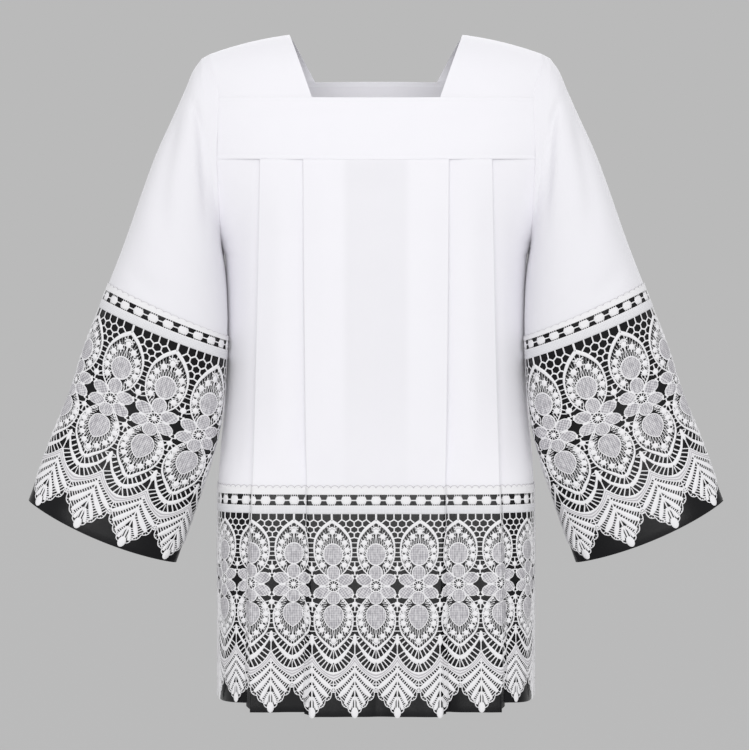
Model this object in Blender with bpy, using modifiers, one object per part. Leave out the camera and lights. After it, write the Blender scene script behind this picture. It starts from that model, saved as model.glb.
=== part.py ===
"""A surplice in its worn form: a square yoke, pleated front and back, bell sleeves, lace over a dark lining.

Lengths in the tables are millimetres. The origin is the middle of the neck at the height of the shoulders,
+Z is up, the front faces -Y, and "left" is the wearer's left, at +X. The garment is symmetric about X = 0.
"""

import math

import bpy
import numpy as np

MM = 0.001

# Cloth
CLOTH_WALL = 1.2
LINING_WALL = 1.0
LACE_WALL = 1.0
SEAM_GAP = 0.3
LAYER_LIFT = 0.5 * (CLOTH_WALL + LACE_WALL) + 0.8  # from a panel's middle to that of the lace on it
ARMHOLE_GAP = 1.8  # between the middles of two walls that meet there at an angle
OUTLINE_STEP = 0.5  # over which an outline's direction is taken
OUTLINE_POINTS = 720  # on a half outline or a whole ring, before it is divided by length
SHARP_ANGLE = math.radians(40)  # a fold's edge is shaded sharp above this

# Heights of the seams, each at the centre and at the armhole or side seam
FRONT_YOKE_TOP = (-92.0, -88.0)
FRONT_YOKE_BOTTOM = (-173.0, -169.0)
BACK_YOKE_TOP = (-51.0, -58.0)
BACK_YOKE_BOTTOM = (-140.0, -137.0)
LEVELS_BELOW_YOKE = ((-224, -222), (-278, -278), (-293, -293), (-345, -345), (-450, -450))
HEM_MIDDLE = (-716, -716)
TRIM_TOP = (-588.5, -588.5)
CLOTH_BOTTOM = (-600.0, -600.0)
LACE_TOP = (-616.0, -616.0)

# Heights of the hem at the pleats' stations, because the panels hang unevenly
HEM = np.array(
    [
        (0, -882.0, -883.5, -853.0),
        (1, -882.0, -883.5, -853.0),
        (4, -877.0, -877.0, -848.0),
        (5, -877.0, -877.0, -848.0),
        (8, -867.0, -866.5, -838.0),
        (9, -872.0, -872.0, -845.0),
    ],
    dtype=[(n, float) for n in ("station", "lining", "lace_tip", "lace_valley")],
)

# Neck: a square opening between the yokes and the two shoulder straps
NECK_CORNER_X = 84.5
NECK_SHOULDER_X = 114.0
STRAP_CROWN = 4.0
STRAP_TURNS = 9
STRAP_SHARES = 5
YOKE_SHARES = np.array([0.0, 0.25, 0.5, 0.68, 0.84, 1.0])  # of the way from the centre to the armhole

# Armhole: an ellipse seen from the side, bent outwards by its own table
ARMHOLE_TOP = -25.0
ARMHOLE_BOTTOM = -278.0
ARMHOLE_HALF_DEPTH = 70.0
ARMHOLE = np.array(
    [
        (-25, 219.0),
        (-40, 216.5),
        (-60, 211.0),
        (-88, 204.0),
        (-125, 205.0),
        (-169, 206.0),
        (-220, 204.0),
        (-278, 203.0),
    ],
    dtype=[("z", float), ("x", float)],
)

# The body's plan at each height: depth forward and back, and where its side seam runs
BODY = np.array(
    [
        (-50, 90.0, 88.0, 203.0, 0.0, 2.5),
        (-92, 97.0, 98.0, 203.0, 0.0, 2.5),
        (-172, 112.0, 108.0, 203.0, 0.0, 2.5),
        (-278, 120.0, 112.0, 203.0, 0.0, 2.3),
        (-293, 121.0, 113.0, 196.0, 7.0, 2.2),
        (-345, 122.0, 114.0, 199.0, 30.0, 2.0),
        (-480, 126.0, 118.0, 201.5, 30.0, 2.1),
        (-540, 127.0, 119.0, 206.0, 24.0, 3.2),
        (-604, 128.0, 120.0, 208.5, 20.0, 4.8),
        (-716, 130.0, 122.0, 209.0, 18.0, 5.0),
        (-882, 132.0, 124.0, 209.0, 18.0, 5.0),
    ],
    dtype=[(n, float) for n in ("z", "front", "back", "side_x", "side_y", "squareness")],
)

# The two pleats at each height: where the fold's edge runs, how far the cloth returns behind it (a negative
# tuck slants on past it instead), how far the edge stands out and how far in the next panel starts
PLEATS = np.array(
    [
        (-130, 93.5, 16.0, 2.2, 3.2, 148.0, 16.0, 2.2, 3.2),
        (-172, 93.0, 16.0, 2.2, 3.2, 148.5, 16.0, 2.2, 3.2),
        (-330, 91.5, 12.0, 2.3, 3.3, 151.0, 12.0, 2.3, 3.5),
        (-450, 90.0, 7.0, 2.4, 3.6, 153.5, 7.0, 2.4, 4.4),
        (-604, 87.5, 0.0, 2.6, 4.0, 157.0, -3.0, 2.8, 6.0),
        (-716, 82.5, -2.5, 3.0, 4.4, 158.5, -4.5, 3.0, 7.5),
        (-882, 82.5, -4.0, 4.0, 6.0, 160.0, -6.0, 4.0, 10.0),
    ],
    dtype=[
        (name, float)
        for name in ("z", "edge_1", "tuck_1", "rise_1", "drop_1", "edge_2", "tuck_2", "rise_2", "drop_2")
    ],
)
LAYER_PITCH = 2.6  # between the middles of two layers of a pleat

# The left sleeve's rings, from the shoulder down: its edges in front view, its middle and depth in side view
SLEEVE = np.array(
    [
        (229.0, -31.0, 202.6, -284.0, -1.5, 69.0),
        (240.0, -47.0, 201.5, -291.0, -4.0, 70.5),
        (251.0, -74.0, 200.0, -299.0, -8.0, 72.0),
        (262.0, -100.0, 198.5, -309.0, -13.0, 73.0),
        (288.0, -160.0, 196.5, -331.0, -21.0, 74.0),
        (329.0, -278.0, 194.5, -376.0, -33.0, 72.0),
        (348.0, -328.0, 194.5, -397.0, -36.0, 71.0),
        (380.5, -414.0, 201.0, -494.0, -38.0, 55.0),
        (401.0, -476.0, 215.5, -558.0, -38.0, 49.0),
        (421.5, -525.5, 232.5, -611.0, -38.0, 46.0),
        (453.0, -611.0, 261.0, -692.0, -38.0, 44.0),
    ],
    dtype=[(n, float) for n in ("outer_x", "outer_z", "inner_x", "inner_z", "middle_y", "half_depth")],
)
SLEEVE_SQUARENESS = 2.2
SLEEVE_LACE_ROW = 7  # counted from the armhole, which is row 0
SLEEVE_FRONT_SAG = 9.0  # how much lower the cuff hangs at its middle
SLEEVE_LACE_LENGTH = 305.0
SLEEVE_CLOTH_PAST = 11.0
SLEEVE_TRIM_LENGTH = 27.0
SLEEVE_VALLEY = 272.0
SLEEVE_TIP = 303.0
SLEEVE_COLUMNS = 32

# Lace repeats: a scallop's tip lies midway between two motifs
HEM_REPEAT = 54.3
SLEEVE_REPEATS = 8
CLEAR_OF_SIDE = 6.0  # a tip or valley nearer to the side seam than this is left out
CLEAR_OF_FOLD = 0.06  # and so is one nearer than this share of a panel to a fold


def smooth(knots, values, at):
    """Values at any place along the knots, by a cubic curve through them that doesn't overshoot."""
    knots = np.asarray(knots, float)
    values = np.asarray(values, float)
    at = np.clip(at, knots[0], knots[-1])
    steps = np.diff(knots)
    slopes = np.diff(values) / steps
    tangents = np.zeros_like(values)
    same_way = slopes[1:] * slopes[:-1] > 0
    sums = np.where(same_way, slopes[1:] + slopes[:-1], 1.0)
    tangents[1:-1] = np.where(same_way, 2 * slopes[1:] * slopes[:-1] / sums, 0.0)
    tangents[0] = slopes[0]
    tangents[-1] = slopes[-1]
    index = np.clip(np.searchsorted(knots, at, side="right") - 1, 0, len(steps) - 1)
    t = (at - knots[index]) / steps[index]
    return (
        (2 * t**3 - 3 * t**2 + 1) * values[index]
        + (t**3 - 2 * t**2 + t) * steps[index] * tangents[index]
        + (3 * t**2 - 2 * t**3) * values[index + 1]
        + (t**3 - t**2) * steps[index] * tangents[index + 1]
    )


def column(table, name, z):
    """A column of a table that runs downwards, at any height."""
    return smooth(table["z"][::-1], table[name][::-1], z)


def path_lengths(points):
    """The length from a path's first point to each of its points."""
    steps = np.linalg.norm(np.diff(points, axis=0), axis=1)
    return np.concatenate([[0.0], np.cumsum(steps)])


def armhole_half_depth(z):
    """How far the armhole lies in front of or behind its middle at a height."""
    middle = 0.5 * (ARMHOLE_TOP + ARMHOLE_BOTTOM)
    half = 0.5 * (ARMHOLE_TOP - ARMHOLE_BOTTOM)
    share = np.clip((z - middle) / half, -1.0, 1.0)
    return ARMHOLE_HALF_DEPTH * np.sqrt(1.0 - share**2)


def side_edge(z, facing):
    """Where the front (facing -1) or the back (+1) ends at a height: on the armhole, or on the side seam."""
    if z > ARMHOLE_BOTTOM:
        return float(column(ARMHOLE, "x", z)), facing * float(armhole_half_depth(z))
    return float(column(BODY, "side_x", z)), float(column(BODY, "side_y", z))


class Plan:
    """Half of the body's outline at one height, a squared ellipse, by the length along it from the centre."""

    def __init__(self, z, facing):
        depth = float(column(BODY, "front" if facing < 0 else "back", z))
        power = float(column(BODY, "squareness", z))
        widest_y = float(column(BODY, "side_y", z))
        reach = depth - facing * widest_y
        self.facing = facing
        self.side_x, side_y = side_edge(z, facing)
        share = abs(side_y - widest_y) / reach
        half_width = self.side_x / (1.0 - share**power) ** (1.0 / power)
        turns = np.linspace(0.0, 0.5 * math.pi, OUTLINE_POINTS)
        x = half_width * np.sin(turns) ** (2 / power)
        y = widest_y + facing * reach * np.abs(np.cos(turns)) ** (2 / power)
        self.points = np.column_stack([x, y])
        self.lengths = path_lengths(self.points)

    def length_to(self, x):
        return float(np.interp(x, self.points[:, 0], self.lengths))

    def point(self, length):
        return np.stack([np.interp(length, self.lengths, self.points[:, axis]) for axis in (0, 1)], axis=-1)

    def moved_out(self, length, offset):
        """Points at these lengths, each moved out from the outline by its offset."""
        along = self.point(length + OUTLINE_STEP) - self.point(length - OUTLINE_STEP)
        along /= np.linalg.norm(along, axis=-1, keepdims=True)
        along[length <= OUTLINE_STEP] = [1.0, 0.0]
        outward = np.stack([-self.facing * along[..., 1], self.facing * along[..., 0]], axis=-1)
        return self.point(length) + outward * np.asarray(offset)[..., None]


# The stations of a pleated half section are counted from the centre. Each fold has four: its edge, the
# edge's underside, the turn of the cloth tucked behind it, and the next panel's start. The last is the side.
SIDE = 9


def pleated_stations(z, plan):
    """The length along the outline and the offset from it of each station of a pleated half section."""
    lengths, offsets = [0.0], [0.0]
    for fold in ("1", "2"):
        names = [f"{name}_{fold}" for name in ("edge", "tuck", "rise", "drop")]
        edge, tuck, rise, drop = (float(column(PLEATS, name, z)) for name in names)
        lengths += [*[plan.length_to(edge)] * 2, *[plan.length_to(edge - tuck)] * 2]
        offsets += [rise, rise - LAYER_PITCH, LAYER_PITCH - drop, -drop]
    lengths.append(plan.length_to(plan.side_x))
    offsets.append(0.0)
    return np.array(lengths), np.array(offsets)


def pleated_half(z, facing, stations):
    """Points of the pleated half section at these station numbers, which may be fractions."""
    plan = Plan(z, facing)
    lengths, offsets = pleated_stations(z, plan)
    numbers = np.arange(len(lengths))
    return plan.moved_out(np.interp(stations, numbers, lengths), np.interp(stations, numbers, offsets))


def whole(half, facing):
    """A half section's points, mirrored and joined, in the order that goes round the body from its right."""
    mirrored = half[::-1] * [-1.0, 1.0]
    across = np.concatenate([mirrored[:-1], half])
    return across if facing < 0 else across[::-1]


def hem_stations(facing):
    """The stations of the folds, and those of the lace's tips and valleys by their length along the hem."""
    numbers = np.linspace(0, SIDE, OUTLINE_POINTS)
    points = pleated_half(HEM["lining"][0], facing, numbers)
    lengths = path_lengths(points)
    marks = np.arange(0.5 * HEM_REPEAT, lengths[-1] - CLEAR_OF_SIDE, 0.5 * HEM_REPEAT)
    scallops = np.interp(marks, lengths, numbers)
    folds = np.arange(SIDE + 1)
    clear = [s for s in scallops if np.abs(folds - s).min() > CLEAR_OF_FOLD]
    stations = np.sort(np.concatenate([folds, clear]))
    return stations, np.interp(stations, numbers, lengths)


def seam_heights(ends, shares):
    """A seam's height at a share of the way from the centre to the side."""
    return ends[0] + (ends[1] - ends[0]) * shares**2


def hem_heights(stations, lengths, edge):
    """The height of the lining's or the lace's lower edge at each station."""
    if edge == "lining":
        return np.interp(stations, HEM["station"], HEM["lining"])
    tips = np.interp(stations, HEM["station"], HEM["lace_tip"])
    valleys = np.interp(stations, HEM["station"], HEM["lace_valley"])
    to_tip = 1.0 - np.abs((lengths / HEM_REPEAT) % 1.0 - 0.5) * 2
    return valleys * (1 - to_tip) + tips * to_tip


def body_grid(levels, facing):
    """Rows of points for a piece of the pleated body. Each level is a pair of heights, at the centre and at
    the side, or the name of a lower edge: "lining" or "lace"."""
    stations, lengths = hem_stations(facing)
    rows = []
    for level in levels:
        if isinstance(level, str):
            heights = hem_heights(stations, lengths, level)
        else:
            half = pleated_half(level[0], facing, stations)
            heights = seam_heights(level, half[:, 0] / half[-1, 0])
        half = np.array([pleated_half(z, facing, np.array([s]))[0] for z, s in zip(heights, stations)])
        half[-1] += [0.0, facing * 0.5 * SEAM_GAP]
        heights = np.concatenate([heights[::-1][:-1], heights])
        rows.append(np.column_stack([whole(half, facing), heights]))
    return np.array(rows)


def yoke_grid(levels, facing):
    """Rows of points for a yoke: the plain outline from armhole to armhole."""
    rows = []
    for level in levels:
        heights = seam_heights(level, YOKE_SHARES)
        half = []
        for z, share in zip(heights, YOKE_SHARES):
            plan = Plan(z, facing)
            half.append(plan.point(plan.length_to(share * plan.side_x)))
        flat = whole(np.array(half), facing)
        heights = np.concatenate([heights[::-1][:-1], heights])
        rows.append(np.column_stack([flat, heights]))
    return np.array(rows)


def neck_edge(turn):
    """The strap's inner edge. turn is -1 at the front yoke, 0 on the shoulder and 1 at the back yoke."""
    facing = -1 if turn < 0 else 1
    corner_z = (FRONT_YOKE_TOP if turn < 0 else BACK_YOKE_TOP)[0] + SEAM_GAP
    plan = Plan(corner_z, facing)
    corner_y = plan.point(plan.length_to(NECK_CORNER_X))[1]
    lift = math.cos(0.5 * math.pi * abs(turn))
    z = corner_z * (1.0 - lift)
    x = NECK_SHOULDER_X + (NECK_CORNER_X - NECK_SHOULDER_X) * z / corner_z
    return np.array([x, corner_y * math.sin(0.5 * math.pi * abs(turn)), z])


def armhole_point(turn):
    """The strap's outer edge, along the armhole, for the same turns."""
    end_z = (FRONT_YOKE_TOP if turn < 0 else BACK_YOKE_TOP)[1] + SEAM_GAP
    middle = 0.5 * (ARMHOLE_TOP + ARMHOLE_BOTTOM)
    half = 0.5 * (ARMHOLE_TOP - ARMHOLE_BOTTOM)
    end_angle = math.acos((end_z - middle) / half)
    angle = end_angle * abs(turn)
    z = middle + half * math.cos(angle)
    facing = -1 if turn < 0 else 1
    return np.array([float(column(ARMHOLE, "x", z)), facing * float(armhole_half_depth(z)), z])


def yoke_edge(share, facing):
    """The yoke's top edge from the neck corner (share 0) to the armhole (share 1)."""
    ends = FRONT_YOKE_TOP if facing < 0 else BACK_YOKE_TOP
    plan = Plan(ends[0] + SEAM_GAP, facing)
    x = NECK_CORNER_X + (plan.side_x - NECK_CORNER_X) * share
    z = seam_heights(ends, x / plan.side_x) + SEAM_GAP
    plan = Plan(float(z), facing)
    return np.array([*plan.point(plan.length_to(x)), z])


def strap_grid():
    """The left shoulder strap: a patch between the neck edge, the armhole and the two yokes."""
    turns = np.linspace(-1, 1, STRAP_TURNS)
    shares = np.linspace(0, 1, STRAP_SHARES)
    rows = []
    for turn in turns:
        neck, arm = neck_edge(turn), armhole_point(turn)
        facing = -1 if turn < 0 else 1
        end_neck, end_arm = neck_edge(facing), armhole_point(facing)
        row = []
        for share in shares:
            chord = neck + (arm - neck) * share
            end_chord = end_neck + (end_arm - end_neck) * share
            bow = yoke_edge(share, facing) - end_chord
            crown = np.array([0.0, 0.0, STRAP_CROWN * 4 * share * (1 - share)]) * (1 - abs(turn))
            row.append(chord + bow * abs(turn) ** 2 + crown)
        rows.append(row)
    return np.array(rows)


def even_ring(points, count):
    """A closed ring of points, spaced evenly by length from its first one."""
    closed = np.concatenate([points, points[:1]])
    lengths = path_lengths(closed)
    marks = np.linspace(0, lengths[-1], count, endpoint=False)
    return np.column_stack([np.interp(marks, lengths, closed[:, axis]) for axis in range(3)])


def armhole_ring(count):
    """The sleeve's top edge along the armhole, from the underarm, forward, over the shoulder and back."""
    angles = np.linspace(0, 2 * math.pi, OUTLINE_POINTS, endpoint=False)
    middle = 0.5 * (ARMHOLE_TOP + ARMHOLE_BOTTOM)
    half = 0.5 * (ARMHOLE_TOP - ARMHOLE_BOTTOM)
    z = middle - half * np.cos(angles)
    y = -ARMHOLE_HALF_DEPTH * np.sin(angles)
    x = column(ARMHOLE, "x", z) + ARMHOLE_GAP
    return even_ring(np.column_stack([x, y, z]), count)


def sleeve_ring(place, count):
    """A ring of the sleeve at a place counted in the table's rows, where 1 is its first row."""
    knots = np.arange(1, len(SLEEVE) + 1)
    row = {name: float(smooth(knots, SLEEVE[name], place)) for name in SLEEVE.dtype.names}
    outer = np.array([row["outer_x"], row["outer_z"]])
    inner = np.array([row["inner_x"], row["inner_z"]])
    middle, half = 0.5 * (outer + inner), 0.5 * (outer - inner)
    down = np.array([half[1], -half[0]]) / np.linalg.norm(half)
    angles = np.linspace(0, 2 * math.pi, OUTLINE_POINTS, endpoint=False)
    power = 2 / SLEEVE_SQUARENESS
    across = -np.sign(np.cos(angles)) * np.abs(np.cos(angles)) ** power
    forward = np.sign(np.sin(angles)) * np.abs(np.sin(angles)) ** power
    sag = SLEEVE_FRONT_SAG * np.clip((place - 2) / (len(SLEEVE) - 2), 0, 1) ** 2 * (1 - across**2)
    flat = middle + across[:, None] * half + sag[:, None] * down
    y = row["middle_y"] - forward * row["half_depth"]
    return even_ring(np.column_stack([flat[:, 0], y, flat[:, 1]]), count)


def lace_distances():
    """How far each row of the sleeve's table lies below the top of its lace, from that row on."""
    rows = SLEEVE[SLEEVE_LACE_ROW - 1 :]
    lengths = path_lengths(np.column_stack([rows["outer_x"], rows["outer_z"]]))
    return lengths * SLEEVE_LACE_LENGTH / lengths[-1]


def sleeve_place(distance):
    """The table place at a distance below the top of the sleeve's lace, along its outer edge."""
    distances = lace_distances()
    return float(np.interp(distance, distances, np.arange(len(distances)) + SLEEVE_LACE_ROW))


def sleeve_grid(places):
    """Rings of the left sleeve at these places. Place 0 is the armhole."""
    rings = []
    for place in places:
        rings.append(sleeve_ring(place, SLEEVE_COLUMNS) if place > 0 else armhole_ring(SLEEVE_COLUMNS))
    return np.array(rings)


def scalloped(grid, top_distance):
    """A grid that ends at the cuff, with its last ring drawn up to the lace's tips and valleys."""
    repeats = np.arange(SLEEVE_COLUMNS) * SLEEVE_REPEATS / SLEEVE_COLUMNS
    to_tip = 1.0 - np.abs(repeats % 1.0 - 0.5) * 2
    distances = SLEEVE_VALLEY + (SLEEVE_TIP - SLEEVE_VALLEY) * to_tip
    shares = (distances - top_distance) / (SLEEVE_LACE_LENGTH - top_distance)
    last = grid[-2] + (grid[-1] - grid[-2]) * shares[:, None]
    return np.concatenate([grid[:-1], [last]])


def outward_normals(grid, ring):
    """A unit vector out of the sheet at each point, halving the angle between the faces beside it."""
    if ring:
        before = grid - np.roll(grid, 1, axis=1)
        after = np.roll(grid, -1, axis=1) - grid
    else:
        steps = np.diff(grid, axis=1)
        before = np.concatenate([steps[:, :1], steps], axis=1)
        after = np.concatenate([steps, steps[:, -1:]], axis=1)
    across = before / np.linalg.norm(before, axis=2, keepdims=True)
    across += after / np.linalg.norm(after, axis=2, keepdims=True)
    down = np.gradient(grid, axis=0)
    normal = np.cross(down, across)
    return normal / np.linalg.norm(normal, axis=2, keepdims=True)


def lifted(grid, ring=False):
    """The same points moved out, for the lace and the trim that lie on a panel."""
    return grid + LAYER_LIFT * outward_normals(grid, ring)


def mirrored(grid, ring=False):
    """The right-hand piece of a pair, from the left-hand one."""
    other = grid * [-1.0, 1.0, 1.0]
    return np.roll(other[:, ::-1], 1, axis=1) if ring else other[:, ::-1]


def make_material(name, colour, roughness):
    material = bpy.data.materials.new(name)
    material.use_nodes = True
    shader = material.node_tree.nodes["Principled BSDF"]
    shader.inputs["Base Color"].default_value = (*colour, 1.0)
    shader.inputs["Roughness"].default_value = roughness
    shader.inputs["Metallic"].default_value = 0.0
    material.diffuse_color = (*colour, 1.0)
    return material


def wall(name, grid, thickness, material, collection, ring=False):
    """A cloth wall: the sheet through a grid of points, with its thickness added by Solidify."""
    rows, columns = grid.shape[:2]
    faces = []
    for row in range(rows - 1):
        for left in range(columns if ring else columns - 1):
            right = (left + 1) % columns
            above, below = row * columns, (row + 1) * columns
            faces.append((above + left, below + left, below + right, above + right))
    mesh = bpy.data.meshes.new(name)
    mesh.from_pydata((grid.reshape(-1, 3) * MM).tolist(), [], faces)
    mesh.materials.append(material)
    mesh.shade_smooth()
    mesh.set_sharp_from_angle(angle=SHARP_ANGLE)
    cloth = bpy.data.objects.new(name, mesh)
    thicken = cloth.modifiers.new("Cloth thickness", "SOLIDIFY")
    thicken.thickness = thickness * MM
    thicken.offset = 0.0
    collection.objects.link(cloth)


def lowered(level, distance):
    return level[0] - distance, level[1] - distance


def build_yokes(cloth, collection):
    for name, facing, top, bottom in (
        ("yoke_front", -1, FRONT_YOKE_TOP, FRONT_YOKE_BOTTOM),
        ("yoke_back", 1, BACK_YOKE_TOP, BACK_YOKE_BOTTOM),
    ):
        middle = (0.5 * (top[0] + bottom[0]), 0.5 * (top[1] + bottom[1]))
        wall(name, yoke_grid([top, middle, bottom], facing), CLOTH_WALL, cloth, collection)
    strap = strap_grid()
    wall("shoulder_strap_left", strap, CLOTH_WALL, cloth, collection)
    wall("shoulder_strap_right", mirrored(strap), CLOTH_WALL, cloth, collection)


def build_body(cloth, lining, lace, collection):
    for name, facing, top in (("front", -1, FRONT_YOKE_BOTTOM), ("back", 1, BACK_YOKE_BOTTOM)):
        levels = [lowered(top, SEAM_GAP), *LEVELS_BELOW_YOKE, TRIM_TOP, CLOTH_BOTTOM]
        wall(f"{name}_panel", body_grid(levels, facing), CLOTH_WALL, cloth, collection)
        levels = [lowered(CLOTH_BOTTOM, SEAM_GAP), HEM_MIDDLE, "lining"]
        wall(f"hem_lining_{name}", body_grid(levels, facing), LINING_WALL, lining, collection)
        levels = [TRIM_TOP, CLOTH_BOTTOM, lowered(LACE_TOP, -SEAM_GAP)]
        wall(f"hem_trim_{name}", lifted(body_grid(levels, facing)), LACE_WALL, lace, collection)
        grid = lifted(body_grid([LACE_TOP, HEM_MIDDLE, "lace"], facing))
        wall(f"hem_lace_{name}", grid, LACE_WALL, lace, collection)


def build_sleeves(cloth, lining, lace, collection):
    joint = sleeve_place(SLEEVE_CLOTH_PAST)
    gap = sleeve_place(SLEEVE_CLOTH_PAST + SEAM_GAP)
    sleeve = sleeve_grid([0, 1, 2, 4, 5, 6, joint])
    under = sleeve_grid([gap, SLEEVE_LACE_ROW + 1, len(SLEEVE)])
    trim_end = sleeve_place(SLEEVE_TRIM_LENGTH)
    trim = sleeve_grid([SLEEVE_LACE_ROW, joint, trim_end])
    lace_top = sleeve_place(SLEEVE_TRIM_LENGTH + SEAM_GAP)
    openwork = sleeve_grid([lace_top, SLEEVE_LACE_ROW + 1, len(SLEEVE)])
    openwork = scalloped(openwork, lace_distances()[1])
    for name, grid, thickness, material in (
        ("sleeve", sleeve, CLOTH_WALL, cloth),
        ("sleeve_lining", under, LINING_WALL, lining),
        ("sleeve_trim", lifted(trim, ring=True), LACE_WALL, lace),
        ("sleeve_lace", lifted(openwork, ring=True), LACE_WALL, lace),
    ):
        wall(f"{name}_left", grid, thickness, material, collection, ring=True)
        wall(f"{name}_right", mirrored(grid, ring=True), thickness, material, collection, ring=True)


def main():
    for thing in list(bpy.data.objects):
        bpy.data.objects.remove(thing)
    collection = bpy.data.collections.new("surplice")
    bpy.context.scene.collection.children.link(collection)
    cloth = make_material("White cloth", (0.90, 0.90, 0.93), 0.6)
    lining = make_material("Black satin", (0.02, 0.02, 0.022), 0.35)
    lace = make_material("White lace", (0.85, 0.85, 0.87), 0.75)
    build_yokes(cloth, collection)
    build_body(cloth, lining, lace, collection)
    build_sleeves(cloth, lining, lace, collection)


main()
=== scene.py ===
"""A surplice in its worn form: pleated white cloth, with openwork lace over a black satin lining.

Lengths in the tables are millimetres. The origin is the middle of the neck at the height of the shoulders,
+Z is up, the front faces -Y, and "left" is the wearer's left, at +X. The garment is symmetric about X = 0.
"""

import math

import bpy
import numpy as np
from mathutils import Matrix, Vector

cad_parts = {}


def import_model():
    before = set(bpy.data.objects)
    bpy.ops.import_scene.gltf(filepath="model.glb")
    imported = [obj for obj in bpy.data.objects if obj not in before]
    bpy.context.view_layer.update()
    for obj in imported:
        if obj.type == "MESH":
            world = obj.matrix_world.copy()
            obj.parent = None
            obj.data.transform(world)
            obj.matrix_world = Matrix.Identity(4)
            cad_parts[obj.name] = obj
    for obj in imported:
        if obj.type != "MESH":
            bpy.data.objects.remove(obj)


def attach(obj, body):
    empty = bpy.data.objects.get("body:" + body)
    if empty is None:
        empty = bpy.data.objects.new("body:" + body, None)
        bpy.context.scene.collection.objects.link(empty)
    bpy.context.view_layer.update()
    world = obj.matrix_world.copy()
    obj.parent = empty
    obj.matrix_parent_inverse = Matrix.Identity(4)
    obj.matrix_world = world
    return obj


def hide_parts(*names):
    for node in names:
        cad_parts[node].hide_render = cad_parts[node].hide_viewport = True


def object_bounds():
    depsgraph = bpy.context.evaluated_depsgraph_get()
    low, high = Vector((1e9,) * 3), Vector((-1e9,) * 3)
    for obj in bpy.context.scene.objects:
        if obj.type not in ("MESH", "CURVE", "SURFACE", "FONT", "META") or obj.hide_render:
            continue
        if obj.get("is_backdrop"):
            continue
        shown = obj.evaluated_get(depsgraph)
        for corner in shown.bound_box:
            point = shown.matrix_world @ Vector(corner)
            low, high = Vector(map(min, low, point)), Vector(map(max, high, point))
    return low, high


MM = 0.001


def named_table(names, *rows):
    """Rows of numbers, with a name for each column."""
    return np.array(list(rows), dtype=[(name, float) for name in names.split()])


# Cloth
CLOTH_WALL = 0.7
LINING_WALL = 0.6
SEAM_GAP = 0.06
LACE_LIFT = 1.25  # from the middle of a panel to the back of the lace on it
ARMHOLE_GAP = 0.1
LINING_WAVE = 1.4
CENTRE_PAINTED_SHADE = 0.1  # painted shade: how much greyer the cloth is made down the front's and the back's middle
SLEEVE_PAINTED_SHADE = 0.11  # and the painted shade that greys the sleeves' cloth
OUTLINE_STEP = 0.5  # over which an outline's direction is taken
OUTLINE_POINTS = 720  # on a half outline or a whole ring, before it is divided by length

# Heights of the seams, each at the centre and at the armhole or side seam
FRONT_YOKE_TOP = (-92.0, -88.0)
FRONT_YOKE_BOTTOM = (-173.0, -169.0)
BACK_YOKE_TOP = (-51.0, -58.0)
BACK_YOKE_BOTTOM = (-140.0, -137.0)
TRIM_TOP = -588.5
CLOTH_BOTTOM = -600.0
LACE_TOP = -616.0
HEM = named_table(
    "station lining lace_tip",
    (0, -882.0, -883.5),
    (1, -882.0, -883.5),
    (4, -877.0, -877.0),
    (5, -877.0, -877.0),
    (8, -867.0, -866.5),
    (9, -872.0, -872.0),
)

# Neck
NECK_CORNER_X = 82.3
NECK_SHOULDER_X = 114.0
STRAP_CROWN = 3.4
BACK_NECK_BOW = 2.0

# Armhole: an ellipse seen from the side, bent outwards by its own table
ARMHOLE_TOP = -25.0
ARMHOLE_BOTTOM = -278.0
ARMHOLE_MIDDLE = 0.5 * (ARMHOLE_TOP + ARMHOLE_BOTTOM)
ARMHOLE_HALF = 0.5 * (ARMHOLE_TOP - ARMHOLE_BOTTOM)
ARMHOLE_HALF_DEPTH = 70.0
ARMHOLE = named_table(
    "z x",
    (-25, 219.0),
    (-40, 216.5),
    (-60, 211.0),
    (-88, 204.0),
    (-125, 205.0),
    (-169, 206.0),
    (-220, 204.0),
    (-278, 203.0),
)

# The body's plan at each height: depth forward and back, and where its side seam runs
BODY = named_table(
    "z front back side_x side_y squareness",
    (-50, 90.0, 88.0, 203.0, 0.0, 2.5),
    (-92, 97.0, 98.0, 203.0, 0.0, 2.5),
    (-172, 112.0, 108.0, 203.0, 0.0, 2.5),
    (-278, 120.0, 112.0, 203.0, 0.0, 2.3),
    (-293, 121.0, 113.0, 199.0, 7.0, 2.5),
    (-345, 122.0, 114.0, 199.0, 28.0, 2.7),
    (-480, 126.0, 118.0, 201.5, 29.0, 2.8),
    (-540, 127.0, 119.0, 206.0, 24.0, 3.2),
    (-604, 128.0, 120.0, 208.5, 20.0, 4.8),
    (-716, 130.0, 122.0, 209.0, 18.0, 5.0),
    (-882, 132.0, 124.0, 209.0, 18.0, 5.0),
)

# The two pleats at each height: where the fold's edge runs, how far the cloth returns behind it (a negative
# tuck slants on past it instead), how far the edge stands out and how far in the next panel starts
PLEATS = named_table(
    "z edge_1 tuck_1 rise_1 drop_1 edge_2 tuck_2 rise_2 drop_2",
    (-130, 93.5, 16.0, 2.2, 3.2, 148.0, 16.0, 2.2, 3.2),
    (-172, 93.0, 16.0, 2.2, 3.2, 148.5, 16.0, 2.2, 3.2),
    (-330, 91.5, 12.0, 2.3, 3.3, 151.0, 12.0, 2.3, 3.5),
    (-450, 90.0, 7.0, 2.4, 3.6, 153.5, 7.0, 2.4, 4.4),
    (-604, 87.5, 0.0, 2.6, 4.0, 157.0, -3.0, 2.8, 6.5),
    (-716, 83.0, -5.5, 3.2, 6.0, 158.5, -7.5, 3.2, 8.5),
    (-882, 83.5, -8.0, 4.5, 8.5, 160.0, -10.0, 4.5, 11.0),
)
LAYER_PITCH = 2.6  # between the middles of two layers of a pleat

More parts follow.
